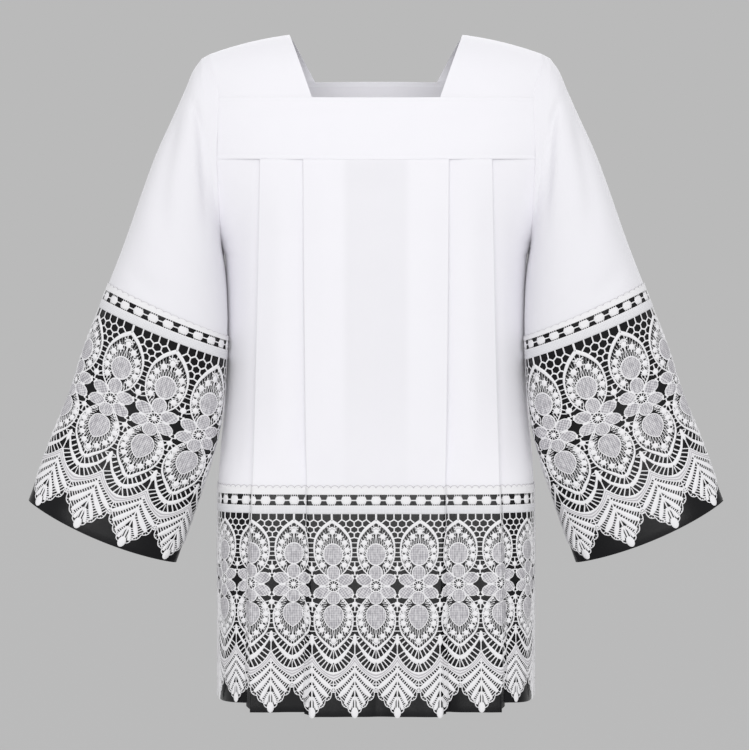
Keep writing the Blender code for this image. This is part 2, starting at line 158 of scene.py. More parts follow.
# The left sleeve's rings, from the shoulder down: its edges in front view, its middle and depth in side view
SLEEVE = named_table(
    "outer_x outer_z inner_x inner_z middle_y half_depth",
    (229.0, -31.0, 202.6, -284.0, -1.5, 69.0),
    (240.0, -47.0, 201.5, -291.0, -4.0, 70.5),
    (251.0, -74.0, 200.0, -299.0, -8.0, 72.0),
    (262.0, -100.0, 198.5, -309.0, -13.0, 73.0),
    (288.0, -160.0, 196.5, -331.0, -21.0, 74.0),
    (329.0, -278.0, 194.5, -376.0, -33.0, 72.0),
    (348.0, -328.0, 194.5, -397.0, -36.0, 71.0),
    (380.5, -414.0, 201.0, -494.0, -38.0, 55.0),
    (401.0, -476.0, 215.5, -558.0, -38.0, 49.0),
    (421.5, -525.5, 232.5, -611.0, -38.0, 46.0),
    (453.0, -611.0, 261.0, -692.0, -38.0, 44.0),
)
SLEEVE_SQUARENESS = 2.2
SLEEVE_LACE_ROW = 7  # counted from the armhole, which is row 0
SLEEVE_FRONT_SAG = 9.0  # how much lower the cuff hangs at its middle
SLEEVE_LACE_LENGTH = 305.0
SLEEVE_CLOTH_PAST = 11.0  # how far the white cloth goes on under the lace
SLEEVE_TIP = 303.0  # where the lace's lowest points lie

# The lace's repeat
REPEAT = 54.3
HALF = 0.5 * REPEAT
TAPE_TOP = 27.5
LACE_DEPTH = 295.0
HEM_REPEATS = 7  # each side of the middle one
SLEEVE_REPEATS = 8
SLEEVE_SLANT = 0.098  # the lace turns this much round the sleeve for its depth
WEAVE_SHIFT = 7.0  # by which each repeat's weave differs from the last

# How fine the sheets are
ROUNDING = 1.2  # of the pleats' folds
LACE_ROUNDING = 1.8
LEVELS_TOP = -130.0  # of the body's sections
LEVELS_BOTTOM = -894.0
LEVEL_STEP = 3.0
PATH_STEP = 0.3
BODY_ROWS = 66
LINING_ROWS = 32
SLEEVE_COLUMNS = 224
SLEEVE_LACE_STEP = 2.5
EVENING_REACH = 45.0  # of the smoothing down the body
EVENING_WIDTH = 22.0


def hermite(t, span, start, end, leave, arrive):
    """A cubic between two values, with its slopes at both."""
    return (
        (2 * t**3 - 3 * t**2 + 1) * start
        + (t**3 - 2 * t**2 + t) * span * leave
        + (3 * t**2 - 2 * t**3) * end
        + (t**3 - t**2) * span * arrive
    )


def smooth(knots, values, at):
    """Values at any place along the knots, by a cubic curve through them that doesn't overshoot."""
    knots = np.asarray(knots, float)
    values = np.asarray(values, float)
    at = np.clip(at, knots[0], knots[-1])
    steps = np.diff(knots)
    slopes = np.diff(values) / steps
    same_way = slopes[1:] * slopes[:-1] > 0
    sums = np.where(same_way, slopes[1:] + slopes[:-1], 1.0)
    inner = np.where(same_way, 2 * slopes[1:] * slopes[:-1] / sums, 0.0)
    tangents = np.concatenate([slopes[:1], inner, slopes[-1:]])
    i = np.clip(np.searchsorted(knots, at, side="right") - 1, 0, len(steps) - 1)
    t = (at - knots[i]) / steps[i]
    return hermite(t, steps[i], values[i], values[i + 1], tangents[i], tangents[i + 1])


def column(table, name, z):
    """A column of a table that runs downwards, at any height."""
    return smooth(table["z"][::-1], table[name][::-1], z)


def path_lengths(points):
    """The length from a path's first point to each of its points."""
    steps = np.linalg.norm(np.diff(points, axis=0), axis=1)
    return np.concatenate([[0.0], np.cumsum(steps)])


def read_line(points, at, marks):
    """A line's points at these marks, where `at` numbers its own points."""
    return np.stack([np.interp(marks, at, points[:, axis]) for axis in range(points.shape[1])], axis=-1)


def at_shares(line, shares):
    """Points at shares of a line's length."""
    lengths = path_lengths(line)
    return read_line(line, lengths / lengths[-1], shares)


def read_grid(grid, row, column, ring=False):
    """Values between a grid's rows and columns, both counted from 0."""
    row = np.clip(row, 0, len(grid) - 1.001)
    if not ring:
        column = np.clip(column, 0, grid.shape[1] - 1.001)
    r, c = row.astype(int), column.astype(int)
    down, across = (row - r)[..., None], (column - c)[..., None]
    c, after = c % grid.shape[1], (c + 1) % grid.shape[1]
    upper = grid[r, c] * (1 - across) + grid[r, after] * across
    lower = grid[r + 1, c] * (1 - across) + grid[r + 1, after] * across
    return upper * (1 - down) + lower * down


def bell(distance, width):
    return np.exp(-((distance / width) ** 2))


def ramp(x, start, end):
    """A smooth step from 0 at start to 1 at end."""
    t = np.clip((np.asarray(x, float) - start) / (end - start), 0.0, 1.0)
    return t * t * (3 - 2 * t)


def squared(wave, squareness):
    """A circle's sine or cosine, made into that of a squared ellipse."""
    return np.sign(wave) * np.abs(wave) ** (2 / squareness)


def armhole_half_depth(z):
    """How far the armhole lies in front of or behind its middle at a height."""
    share = np.clip((z - ARMHOLE_MIDDLE) / ARMHOLE_HALF, -1.0, 1.0)
    return ARMHOLE_HALF_DEPTH * np.sqrt(1.0 - share**2)


def side_edge(z, facing):
    """Where the front (facing -1) or the back (+1) ends at a height: on the armhole, or on the side seam."""
    if z > ARMHOLE_BOTTOM:
        return float(column(ARMHOLE, "x", z)), facing * float(armhole_half_depth(z))
    return float(column(BODY, "side_x", z)), float(column(BODY, "side_y", z))


class Plan:
    """Half of the body's outline at one height, a squared ellipse, by the length along it from the centre."""

    def __init__(self, z, facing):
        depth = float(column(BODY, "front" if facing < 0 else "back", z))
        power = float(column(BODY, "squareness", z))
        widest_y = float(column(BODY, "side_y", z))
        reach = depth - facing * widest_y
        self.facing = facing
        self.side_x, side_y = side_edge(z, facing)
        share = abs(side_y - widest_y) / reach
        half_width = self.side_x / (1.0 - share**power) ** (1.0 / power)
        turns = np.linspace(0.0, 0.5 * math.pi, OUTLINE_POINTS)
        x = half_width * squared(np.sin(turns), power)
        y = widest_y + facing * reach * squared(np.abs(np.cos(turns)), power)
        self.points = np.column_stack([x, y])
        self.lengths = path_lengths(self.points)

    def length_to(self, x):
        return float(np.interp(x, self.points[:, 0], self.lengths))

    def point(self, length):
        return read_line(self.points, self.lengths, length)

    def moved_out(self, length, offset):
        """Points at these lengths, each moved out from the outline by its offset."""
        along = self.point(length + OUTLINE_STEP) - self.point(length - OUTLINE_STEP)
        along /= np.linalg.norm(along, axis=-1, keepdims=True)
        along[length <= OUTLINE_STEP] = [1.0, 0.0]
        outward = np.stack([-self.facing * along[..., 1], self.facing * along[..., 0]], axis=-1)
        return self.point(length) + outward * np.asarray(offset)[..., None]


# The stations of a pleated half section are counted from the centre. Each fold has four: its edge, the
# edge's underside, the turn of the cloth tucked behind it, and the next panel's start. The last is the side.
SIDE = 9


def pleated_stations(z, plan):
    """The length along the outline and the offset from it of each station of a pleated half section."""
    lengths, offsets = [0.0], [0.0]
    for fold in ("1", "2"):
        names = [f"{name}_{fold}" for name in ("edge", "tuck", "rise", "drop")]
        edge, tuck, rise, drop = (float(column(PLEATS, name, z)) for name in names)
        lengths += [*[plan.length_to(edge)] * 2, *[plan.length_to(edge - tuck)] * 2]
        offsets += [rise, rise - LAYER_PITCH, LAYER_PITCH - drop, -drop]
    lengths.append(plan.length_to(plan.side_x))
    offsets.append(0.0)
    return np.array(lengths), np.array(offsets)


def column_marks():
    """A half section's columns: each a station, a share of the way on and a distance past it."""
    near = (0.0, 0.5, 1.1, 1.9, 3.0, 4.6)
    marks = []
    for station, middle in ((0, 24), (4, 20), (8, 16)):
        marks += [(station, 0.0, d) for d in near]
        marks += [(station, share, 7.0 - 14.0 * share) for share in np.linspace(0, 1, middle)]
        marks += [(station, 1.0, -d) for d in near[:0:-1]]
    for station in (1, 3, 5, 7):
        marks += [(station, share, 0.0) for share in (0.0, 0.25, 0.5, 0.75)]
    for station in (2, 6):
        marks += [(station, share, 0.0) for share in (0.0, 0.15, 0.35, 0.65, 0.85)]
    marks.append((SIDE - 1, 1.0, 0.0))
    return np.array(sorted(marks, key=lambda m: (m[0], m[1], m[2])))


MARKS = column_marks()


def section(z, facing, rounding):
    """The half section at a height with its folds rounded, at each column, and the length along it there."""
    plan = Plan(z, facing)
    lengths, offsets = pleated_stations(z, plan)
    path = np.column_stack([lengths, offsets])
    arcs = path_lengths(path)
    fine = np.linspace(0, arcs[-1], int(arcs[-1] / PATH_STEP))
    reach = int(rounding / PATH_STEP)
    kernel = np.concatenate([np.arange(1, reach + 2), np.arange(reach, 0, -1)]).astype(float)
    kernel /= kernel.sum()
    pad = {"mode": "reflect", "reflect_type": "odd"}
    padded = np.pad(read_line(path, arcs, fine), ((reach, reach), (0, 0)), **pad)
    rounded = np.column_stack([np.convolve(padded[:, axis], kernel, mode="valid") for axis in (0, 1)])
    stations = MARKS[:, 0].astype(int)
    spans = np.diff(arcs)[stations]
    at = np.clip(arcs[stations] + MARKS[:, 1] * spans + MARKS[:, 2], arcs[stations], arcs[stations + 1])
    length, offset = read_line(rounded, fine, at).T
    half = plan.moved_out(length, offset)
    half[-1, 1] += facing * 0.5 * SEAM_GAP
    return half, at


def whole(half, facing):
    """A half section's points, mirrored and joined, in the order that goes round the body from its right."""
    mirror = half[::-1] * [-1.0, 1.0]
    across = np.concatenate([mirror[:-1], half])
    return across if facing < 0 else across[::-1]


def both_ways(half):
    return np.concatenate([half[::-1][:-1], half])


def evened(sections):
    """The sections evened out down the body, all but the armhole's own edge."""
    reach = int(EVENING_REACH / LEVEL_STEP)
    kernel = bell(np.arange(-reach, reach + 1) * LEVEL_STEP, EVENING_WIDTH)
    kernel /= kernel.sum()
    padded = np.pad(sections, ((reach, reach), (0, 0), (0, 0)), mode="edge")
    even = sum(weight * padded[i : i + len(sections)] for i, weight in enumerate(kernel))
    share = sections[:, :, :1] / sections[:, -1:, :1]
    own = ramp(share, 0.8, 0.98)
    return even * (1 - own) + sections * own


class Body:
    """The pleated front or back as a table of fine sections, from which any point is read."""

    def __init__(self, facing, rounding=ROUNDING):
        self.facing = facing
        self.levels = np.arange(LEVELS_TOP, LEVELS_BOTTOM, -LEVEL_STEP)
        sections = [section(z, facing, rounding)[0] for z in self.levels]
        self.table = np.array([whole(half, facing) for half in evened(np.array(sections))])
        half, at = section(HEM["lining"][0], facing, rounding)
        steps = np.diff(at) * np.where(MARKS[:-1, 0] % 4 == 0, 1.0, 0.5)  # the lace is eased over the folds
        laid = np.concatenate([[0.0], np.cumsum(steps)])
        self.hem_lengths = np.concatenate([-laid[::-1][:-1], laid])
        numbers = MARKS[:, 0] + MARKS[:, 1]
        spread = np.interp(at, path_lengths(np.column_stack([at, at * 0])), numbers)
        self.stations = both_ways(spread)
        self.shares = np.abs(self.table[:, :, 0]) / np.abs(self.table[:, -1:, 0])

    def row(self, z):
        return (self.levels[0] - z) / LEVEL_STEP

    def at(self, columns, z):
        """Points at these column numbers, which may be fractions, and heights."""
        flat = read_grid(self.table, self.row(z), columns)
        return np.concatenate([flat, np.asarray(z)[..., None]], axis=-1)

    def grid(self, heights):
        """A grid from a table of heights, with a column for each of the section's."""
        return self.at(np.broadcast_to(np.arange(self.table.shape[1], dtype=float), heights.shape), heights)

    def outward(self):
        """A unit vector out of the cloth at each of the table's points."""
        z = np.broadcast_to(self.levels[:, None], self.table.shape[:2])
        return outward_normals(np.dstack([self.table, z]))

    def share_at(self, z):
        return self.shares[int(np.clip(round(self.row(z)), 0, len(self.levels) - 1))]


def seam_heights(ends, shares):
    """A seam's height at a share of the way from the centre to the side."""
    return ends[0] + (ends[1] - ends[0]) * shares**2


def facing_of(turn):
    return -1 if turn < 0 else 1


def neck_edge(turn):
    """The strap's inner edge. turn is -1 at the front yoke, 0 on the shoulder and 1 at the back yoke."""
    corner_z = (FRONT_YOKE_TOP if turn < 0 else BACK_YOKE_TOP)[0] + SEAM_GAP
    plan = Plan(corner_z, facing_of(turn))
    corner_y = plan.point(plan.length_to(NECK_CORNER_X))[1]
    z = corner_z * (1.0 - math.cos(0.5 * math.pi * abs(turn)))
    x = NECK_SHOULDER_X + (NECK_CORNER_X - NECK_SHOULDER_X) * z / corner_z
    if turn > 0:
        x -= BACK_NECK_BOW * math.sin(math.pi * turn)
    return np.array([x, corner_y * math.sin(0.5 * math.pi * abs(turn)), z])


def armhole_point(turn):
    """The strap's outer edge, along the armhole, for the same turns."""
    end_z = (FRONT_YOKE_TOP if turn < 0 else BACK_YOKE_TOP)[1] + SEAM_GAP
    end_angle = math.acos((end_z - ARMHOLE_MIDDLE) / ARMHOLE_HALF)
    z = ARMHOLE_MIDDLE + ARMHOLE_HALF * math.cos(end_angle * abs(turn))
    return np.array([float(column(ARMHOLE, "x", z)), facing_of(turn) * float(armhole_half_depth(z)), z])


def yoke_edge(share, facing):
    """The yoke's top edge from the neck corner (share 0) to the armhole (share 1)."""
    ends = FRONT_YOKE_TOP if facing < 0 else BACK_YOKE_TOP
    plan = Plan(ends[0] + SEAM_GAP, facing)
    x = NECK_CORNER_X + (plan.side_x - NECK_CORNER_X) * share
    z = seam_heights(ends, x / plan.side_x) + SEAM_GAP
    plan = Plan(float(z), facing)
    return np.array([*plan.point(plan.length_to(x)), z])


def even_ring(points, count):
    """A closed ring of points, spaced evenly by length from its first one."""
    closed = np.concatenate([points, points[:1]])
    lengths = path_lengths(closed)
    return read_line(closed, lengths, np.linspace(0, lengths[-1], count, endpoint=False))


def armhole_ring(count):
    """The sleeve's top edge along the armhole, from the underarm, forward, over the shoulder and back."""
    angles = np.linspace(0, 2 * math.pi, OUTLINE_POINTS, endpoint=False)
    z = ARMHOLE_MIDDLE - ARMHOLE_HALF * np.cos(angles)
    x = column(ARMHOLE, "x", z) + ARMHOLE_GAP
    return even_ring(np.column_stack([x, -ARMHOLE_HALF_DEPTH * np.sin(angles), z]), count)


def sleeve_ring(place, count=SLEEVE_COLUMNS):
    """A ring of the sleeve, by its place in the table's rows: 1 is the first and 0 the armhole."""
    if place < 1:
        return armhole_ring(count) * (1 - place) + sleeve_ring(1, count) * place
    knots = np.arange(1, len(SLEEVE) + 1)
    row = {name: float(smooth(knots, SLEEVE[name], place)) for name in SLEEVE.dtype.names}
    outer = np.array([row["outer_x"], row["outer_z"]])
    inner = np.array([row["inner_x"], row["inner_z"]])
    middle, half = 0.5 * (outer + inner), 0.5 * (outer - inner)
    down = np.array([half[1], -half[0]]) / np.linalg.norm(half)
    angles = np.linspace(0, 2 * math.pi, OUTLINE_POINTS, endpoint=False)
    across = -squared(np.cos(angles), SLEEVE_SQUARENESS)
    forward = squared(np.sin(angles), SLEEVE_SQUARENESS)
    sag = SLEEVE_FRONT_SAG * np.clip((place - 2) / (len(SLEEVE) - 2), 0, 1) ** 2 * (1 - across**2)
    flat = middle + across[:, None] * half + sag[:, None] * down
    y = row["middle_y"] - forward * row["half_depth"]
    return even_ring(np.column_stack([flat[:, 0], y, flat[:, 1]]), count)


def sleeve_place(distance):
    """The table place at a distance below the top of the sleeve's lace, along its outer edge."""
    rows = SLEEVE[SLEEVE_LACE_ROW - 1 :]
    lengths = path_lengths(np.column_stack([rows["outer_x"], rows["outer_z"]]))
    distances = lengths * SLEEVE_LACE_LENGTH / lengths[-1]
    return float(np.interp(distance, distances, np.arange(len(distances)) + SLEEVE_LACE_ROW))


def outward_normals(grid, ring=False):
    """A unit vector out of the sheet at each point."""
    if ring:
        across = np.roll(grid, -1, axis=1) - np.roll(grid, 1, axis=1)
    else:
        across = np.gradient(grid, axis=1)
    down = np.gradient(grid, axis=0)
    normal = np.cross(down, across)
    return normal / np.maximum(np.linalg.norm(normal, axis=2, keepdims=True), 1e-9)


def grid_faces(rows, columns, ring=False):
    row = np.arange(rows - 1)[:, None] * columns
    left = np.arange(columns if ring else columns - 1)[None, :]
    right = (left + 1) % columns
    corners = (row + left, row + columns + left, row + columns + right, row + right)
    return np.stack([np.broadcast_to(c, (rows - 1, left.shape[1])) for c in corners], axis=-1).reshape(-1, 4)


# ---------------------------------------------------------------- the lace's pattern, drawn flat
# u runs along the hem from the middle of a motif, v down from the lace's top edge, h out of the lace.

CORD = np.array([(-1, 0), (0, 1), (1, 0)], float)
ROUND = np.array([(-1, 0), (-0.78, 0.72), (0, 1), (0.78, 0.72), (1, 0)], float)
FLAT = np.array([(-1, 0), (-0.9, 0.9), (-0.35, 1), (0.35, 1), (0.9, 0.9), (1, 0)], float)
DOME = ((1.0, 0.0), (0.86, 0.62), (0.5, 0.93), (0.2, 1.0))
DISC = ((1.0, 0.0), (0.93, 0.9), (0.6, 1.0), (0.25, 1.0))
STEP = 2.4
STRAIGHT_STEP = 3.0
TURNED_WEAVE = 0.74

# The lace's materials, by their place in a piece's list of them. The last is grey, a painted shade in the
# grooves and along the scallops.
THREAD, FILL, TAPE, GREY_PAINTED_SHADE = range(4)


def curve(points, step=STEP):
    """A smooth line through a few points, with a point about every step."""
    points = np.array(points, float)
    at = path_lengths(points)
    tangents = np.gradient(points, at, axis=0)
    marks = np.linspace(0, at[-1], max(2, int(round(at[-1] / step)) + 1))
    i = np.clip(np.searchsorted(at, marks, side="right") - 1, 0, len(at) - 2)
    span = (at[i + 1] - at[i])[:, None]
    t = (marks - at[i])[:, None] / span
    return hermite(t, span, points[i], points[i + 1], tangents[i], tangents[i + 1])


def oval(centre, radii, turn=0.0, sides=24):
    angles = np.linspace(0, 2 * math.pi, sides, endpoint=False)
    x, y = radii[0] * np.cos(angles), radii[1] * np.sin(angles)
    c, s = math.cos(turn), math.sin(turn)
    return np.column_stack([centre[0] + x * c - y * s, centre[1] + x * s + y * c])


class Chart:
    """Flat lace: points (u, v, h), each one's place in the weave, faces, and each face's material."""

    def __init__(self):
        self.parts = []
        self.count = 0

    def put(self, points, weave, faces, fill):
        self.parts.append((points, weave, faces + self.count, fill))
        self.count += len(points)

    def joined(self):
        return [np.concatenate(values) for values in zip(*self.parts)]

    def take(self, other, side=1, shift=0.0):
        """Another chart's lace, mirrored if side is -1 and moved along."""
        points, weave, faces, fill = other.joined()
        self.put(points * [side, 1, 1] + [shift, 0, 0], weave * [side, 1], faces, fill)

    def add(self, points, faces, fill=THREAD, turn=0.0):
        """Points and faces, with their weave turned; a turned weave is also coarser."""
        points = np.asarray(points, float).reshape(-1, 3)
        c, s = math.cos(turn), math.sin(turn)
        weave = points[:, :2] @ np.array([(c, -s), (s, c)]) * (TURNED_WEAVE if turn else 1.0)
        self.put(points, weave, np.asarray(faces), np.broadcast_to(fill, len(faces)))

    def strip(self, path, half_width, height, profile=CORD, closed=False, fill=THREAD, base=0.0):
        """A cord or band along a path. Several half widths are spread over its length."""
        path = np.asarray(path, float)
        if closed:
            along = np.roll(path, -1, axis=0) - np.roll(path, 1, axis=0)
        else:
            along = np.gradient(path, axis=0)
        along /= np.maximum(np.linalg.norm(along, axis=1, keepdims=True), 1e-9)
        across = np.column_stack([-along[:, 1], along[:, 0]])
        n, k = len(path), len(profile)
        widths = np.atleast_1d(half_width)
        half = np.interp(np.linspace(0, 1, n), np.linspace(0, 1, len(widths)), widths)
        flat = path[:, None] + across[:, None] * (half[:, None] * profile[:, 0])[..., None]
        h = np.broadcast_to(base + height * profile[:, 1], flat.shape[:2])
        faces = grid_faces(n, k)
        if closed:
            first = np.arange(k - 1)
            last = first + (n - 1) * k
            faces = np.concatenate([faces, np.column_stack([last, first, first + 1, last + 1])])
        self.add(np.dstack([flat, h]), faces, fill)

    def line(self, *points, half=0.5, height=0.45, profile=CORD):
        path = curve(points) if len(points) > 2 else curve(points, STRAIGHT_STEP)
        self.strip(path, half, height, profile)

    def lines(self, table):
        """Lines from a table of their points, by half width and height."""
        for (half, height), lines in table.items():
            for points in lines:
                self.line(*points, half=half, height=height)

    def band(self, upper, lower, profile, height, fills=THREAD):
        """A band between two edges, with heights at shares of the way across."""
        count = max(len(upper), len(lower))
        ends = [at_shares(edge, np.linspace(0, 1, count)) for edge in (upper, lower)]
        across = profile[:, 0][None, :, None]
        flat = ends[0][:, None] * (1 - across) + ends[1][:, None] * across
        h = np.broadcast_to(height * profile[:, 1], flat.shape[:2])
        fills = np.broadcast_to(fills, (count - 1, len(profile) - 1)).ravel()
        self.add(np.dstack([flat, h]), grid_faces(count, len(profile)), fills)

    def mound(self, centre, radii, height, turn=0.0, rings=DOME, sides=10, fill=THREAD, weave_turn=0.0):
        """A mound of rings. The outermost ring of a filled one is thread."""
        rims = [oval(centre, np.array(radii) * share, turn, sides) for share, _ in rings]
        points = [np.column_stack([rim, np.full(sides, height * h)]) for rim, (_, h) in zip(rims, rings)]
        faces = grid_faces(len(rings), sides, ring=True)
        i = np.arange(sides // 2 - 1)
        inner = (len(rings) - 1) * sides + np.column_stack([i, i + 1, sides - 2 - i, sides - 1 - i])
        fills = np.full(len(faces) + len(inner), fill)
        if rings is DISC:
            fills[:sides] = THREAD
        self.add(np.concatenate(points), np.concatenate([faces, inner]), fills, weave_turn)

    def ladder(self, inner, outer, shares, half=0.55):
        """Bars from one edge, at shares of its length, straight across to the other."""
        outer = curve(outer, 0.4)
        for a in at_shares(inner, shares):
            self.line(a, outer[np.linalg.norm(outer - a, axis=1).argmin()], half=half, height=0.4)

    def zigzag(self, first, second, count):
        """A thread to and fro between two lines."""
        shares = np.linspace(0, 1, count)
        path = at_shares(first, shares)
        path[1::2] = at_shares(second, shares)[1::2]
        self.strip(path, 0.58, 0.4)


def fan(w, v):
    """A point given from the fan's axis, as a point from the motif's axis."""
    return (HALF - w, v)


def shifted(path, distance):
    """A path moved sideways."""
    along = np.gradient(path, axis=0)
    along /= np.linalg.norm(along, axis=1, keepdims=True)
    return path + distance * np.column_stack([-along[:, 1], along[:, 0]])


def across_repeat(v):
    return curve([(-HALF, v), (HALF, v)])


def edging():
    """The heading of one repeat: a scalloped band on the cloth and a row of dots between holes."""
    chart = Chart()
    low, dot_v = across_repeat(7.4), 18.9
    chart.strip(low, 4.1, 0.55, profile=FLAT)
    chart.strip(low - [0, 3.0], 0.45, 0.3, base=0.5)
    chart.strip(low + [0, 3.6], 0.6, 0.35, base=0.5)
    chart.strip(across_repeat(26.0), 0.75, 0.5, profile=ROUND)
    for u in (np.arange(6) - 2.5) * REPEAT / 6:
        top = curve([(u - 4.3, 4.0), (u - 3.4, 1.7), (u, 0.5), (u + 3.4, 1.7), (u + 4.3, 4.0)], 1.2)
        bottom = curve([(u - 4.3, 4.1), (u + 4.3, 4.1)], 1.2)
        # A painted shadow: a thin grey strip along each scallop's top edge.
        chart.strip(top - [0, 0.35], 0.42, 0.12, fill=GREY_PAINTED_SHADE)
        chart.band(top, bottom, np.array([(0, 0), (0.2, 1.0), (0.42, 0.65), (1, 0.65)]), 0.75)
    for u in (np.arange(3) - 1) * REPEAT / 3:
        dot = np.array([u, dot_v])
        chart.mound(dot, (5.7, 5.2), 0.6, rings=DISC, sides=16)
        for side in (-1, 1):
            for bar in (-3.9, -1.3, 1.3, 3.9):
                chart.line(dot + [bar, side * 4.2], dot + [bar, side * 7.4], half=0.37, height=0.4)
            chart.line(dot + [-3.9, side * 4.3], dot + [3.9, side * 4.3], half=0.7, height=0.5)
            chart.line(dot + [side * 4.6, 0], dot + [side * REPEAT / 6, 0], half=0.75, height=0.5)
            for way in (-1, 1):
                chart.line(dot + [side * 4.4, way * 4.3], dot + [side * 6.0, 0], half=0.5, height=0.4)
    return chart


UPPER_MIDDLE = (0, 86)
LOWER_MIDDLE = (0, 170)
BALLS_ABOVE = ((8.5, 64.9), (14.9, 72.5), (17.9, 81.8), (17.9, 91.0), (13.9, 100.6))
BALLS_BELOW = ((19.0, 156.9), (20.2, 165.8), (19.2, 174.8), (15.2, 182.9), (8.4, 190.9))
ARC_B = ((0, 224.0), (6.9, 220.3), (12.8, 214.4), (19.75, 205.5), (24.2, 198.6), (HALF, 193.2))
ARC_C_TOP = ((0, 236.6), (7, 235.2), (14.85, 230.2), (20.75, 223.3), (25, 216.5), (HALF, 212.4))
ARC_C_LOW = ((0, 248.0), (3.9, 246.2), (11.8, 240.6), (20.75, 233.1), (24.5, 229.0), (HALF, 225.7))
GROOVE_SHARES = (0, 0.1, 0.27, 0.33, 0.41, 0.47, 0.6, 0.66, 0.74, 0.8, 0.92, 1)
GROOVE_HEIGHTS = (0, 1, 1, 0.45, 0.45, 1, 1, 0.45, 0.45, 1, 1, 0)
GROOVED = np.column_stack([GROOVE_SHARES, GROOVE_HEIGHTS])
# The grooves' faces take the grey material, a painted shade in them.
GROOVE_PAINTED_SHADE = np.array([0, 0, 1, 1, 1, 0, 1, 1, 1, 0, 0]) * GREY_PAINTED_SHADE


def spokes(chart, centre, towards):
    """A ball of thread and the short threads that hold it."""
    centre = np.array(centre)
    chart.mound(centre, (3.6, 3.6), 1.0)
    start = math.atan2(*(centre - towards)[::-1])
    for angle in start + np.arange(6) * math.pi / 3:
        way = np.array([math.cos(angle), math.sin(angle)])
        chart.line(centre + way * 2.4, centre + way * 5.6, half=0.62, height=0.4)


# The right half of a motif: its two rims with their half widths, and the inner edges of their threads
UPPER_RIM = (
    ((0, 45.2), (5.5, 48.9), (11, 53.2), (16, 58.9), (19.6, 64.2), (21.9, 70), (23.0, 76.5))
    + ((23.4, 83.5), (22.7, 91), (20.4, 99), (17.0, 105.6), (13.0, 110.2), (8.6, 114.6), (5.4, 119.2))
)
UPPER_RIM_HALF = (2.2, 2.1, 1.9, 1.5, 1.15, 1.0, 0.95, 0.9, 0.85, 0.8)
UPPER_INNER = (
    ((0, 73.2), (6.4, 75.8), (11.0, 81.0), (12.4, 87.4), (11.4, 92.6))
    + ((9.6, 97.4), (8.6, 104.0))
)
LOWER_RIM = (
    ((5.4, 135.8), (9.4, 140.5), (14.6, 146.0), (20.4, 154.2), (23.8, 162), (24.7, 170), (23.9, 179))
    + ((21.2, 187.2), (15.2, 195.4), (8.8, 201.4), (3.6, 206.2), (0, 207.6))
)
LOWER_RIM_HALF = (0.75, 0.8, 0.85, 0.9, 1.0, 1.3, 1.8, 2.1)
LOWER_INNER = (
    ((7.6, 147.0), (10.6, 154.6), (12.4, 159.0), (13.4, 166.0), (10.8, 173.6))
    + ((6.0, 179.2), (0, 183.2))
)
# Single threads, by half width and height
RIM_THREADS = {
    (0.6, 0.4): (
        ((0, 52.5), (5.4, 57.0)),
        ((1.0, 55.0), (6.5, 53.2)),
        ((0.5, 202.0), (5.2, 197.6)),
        ((14.4, 156.5), (17.5, 151.6)),
    ),
    (0.8, 0.7): (((5.0, 127.5), (18.4, 127.5)),),
}
# Edges between which the bars of the arcs run
UNDER_A = ((0, 209.6), (6, 206.9), (12, 201.8), (17.6, 195.6), (22.2, 188.8), (24.6, 183.4))
OVER_B = ((0, 221.2), (6.2, 217.7), (11.8, 212.8), (18.6, 204.4), (23.2, 197.4), (26.4, 191.4))
UNDER_B = ((0, 226.8), (7.7, 222.8), (13.8, 216.2), (20.6, 206.8), (24.6, 201.2), (26.9, 197.6))


def motif_side():
    """The right half of what mirrors about the motif's axis."""
    c = Chart()
    upper, lower = curve(UPPER_RIM), curve(LOWER_RIM)
    c.strip(upper, UPPER_RIM_HALF, 0.8, profile=ROUND)
    balls = curve([(0, 58.9), *BALLS_ABOVE, (9.6, 107.4)])
    c.zigzag(shifted(upper, 1.0)[2:-4], balls, 37)
    c.zigzag(balls, curve(UPPER_INNER), 27)
    c.strip(lower, LOWER_RIM_HALF, 0.8, profile=ROUND)
    balls = curve([(11.0, 146.4), *BALLS_BELOW, (0, 196.3)])
    c.zigzag(shifted(lower, 1.0)[3:-1], balls, 39)
    c.zigzag(balls, curve(LOWER_INNER), 27)
    for row, middle in ((BALLS_ABOVE, UPPER_MIDDLE), (BALLS_BELOW, LOWER_MIDDLE)):
        for ball in row:
            spokes(c, ball, middle)
    c.lines(RIM_THREADS)
    for v, turn, weave in ((119.5, -0.2, 0.62), (135.5, 0.2, -0.62)):
        c.mound((15.3, v), (10.0, 7.1), 0.42, turn, DISC, 20, FILL, weave)
        c.strip(oval((15.3, v), (9.6, 6.8), turn, 24), 0.68, 0.8, closed=True)
    c.strip(curve(ARC_B), (3.1, 2.9, 2.3, 1.6, 1.2, 1.0), 0.75, profile=ROUND)
    top, low = curve(ARC_C_TOP), curve(ARC_C_LOW)
    c.ladder(curve(OVER_B), curve(UNDER_A), np.arange(1, 7) / 6.7, half=0.7)
    c.ladder(top, curve(UNDER_B), np.arange(1, 7) / 6.45, half=0.7)
    c.band(top, low, GROOVED, 0.75, GROOVE_PAINTED_SHADE)
    rib = shifted(curve([fan(w, v) for w, v in RIB_1[::-1]]), -2.0)
    c.ladder(low, rib, (np.arange(10) + 0.6) / 10.4, half=0.65)
    return c


SHIELD_HALF = (
    ((0, 182.8), (5.2, 179.2), (9.6, 174.0), (12.3, 167.4), (12.0, 160.8))
    + ((9.0, 155.4), (4.6, 152.6), (0, 151.9))
)
SHIELD_RINGS = ((1.0, 0.0), (0.95, 0.4), (0.6, 0.45), (0.2, 0.45))
AXIS_THREADS = {
    (0.5, 0.45): (((0, 209), (0, 221.4)), ((0, 226.6), (0, 237.2))),
    (0.65, 0.45): (
        ((0, 247.5), (0, 262.0)),
        ((-4, 251.6), (4, 251.6)),
        ((-3, 255.4), (3, 255.4)),
        ((-2, 259.0), (2, 259.0)),
    ),
}


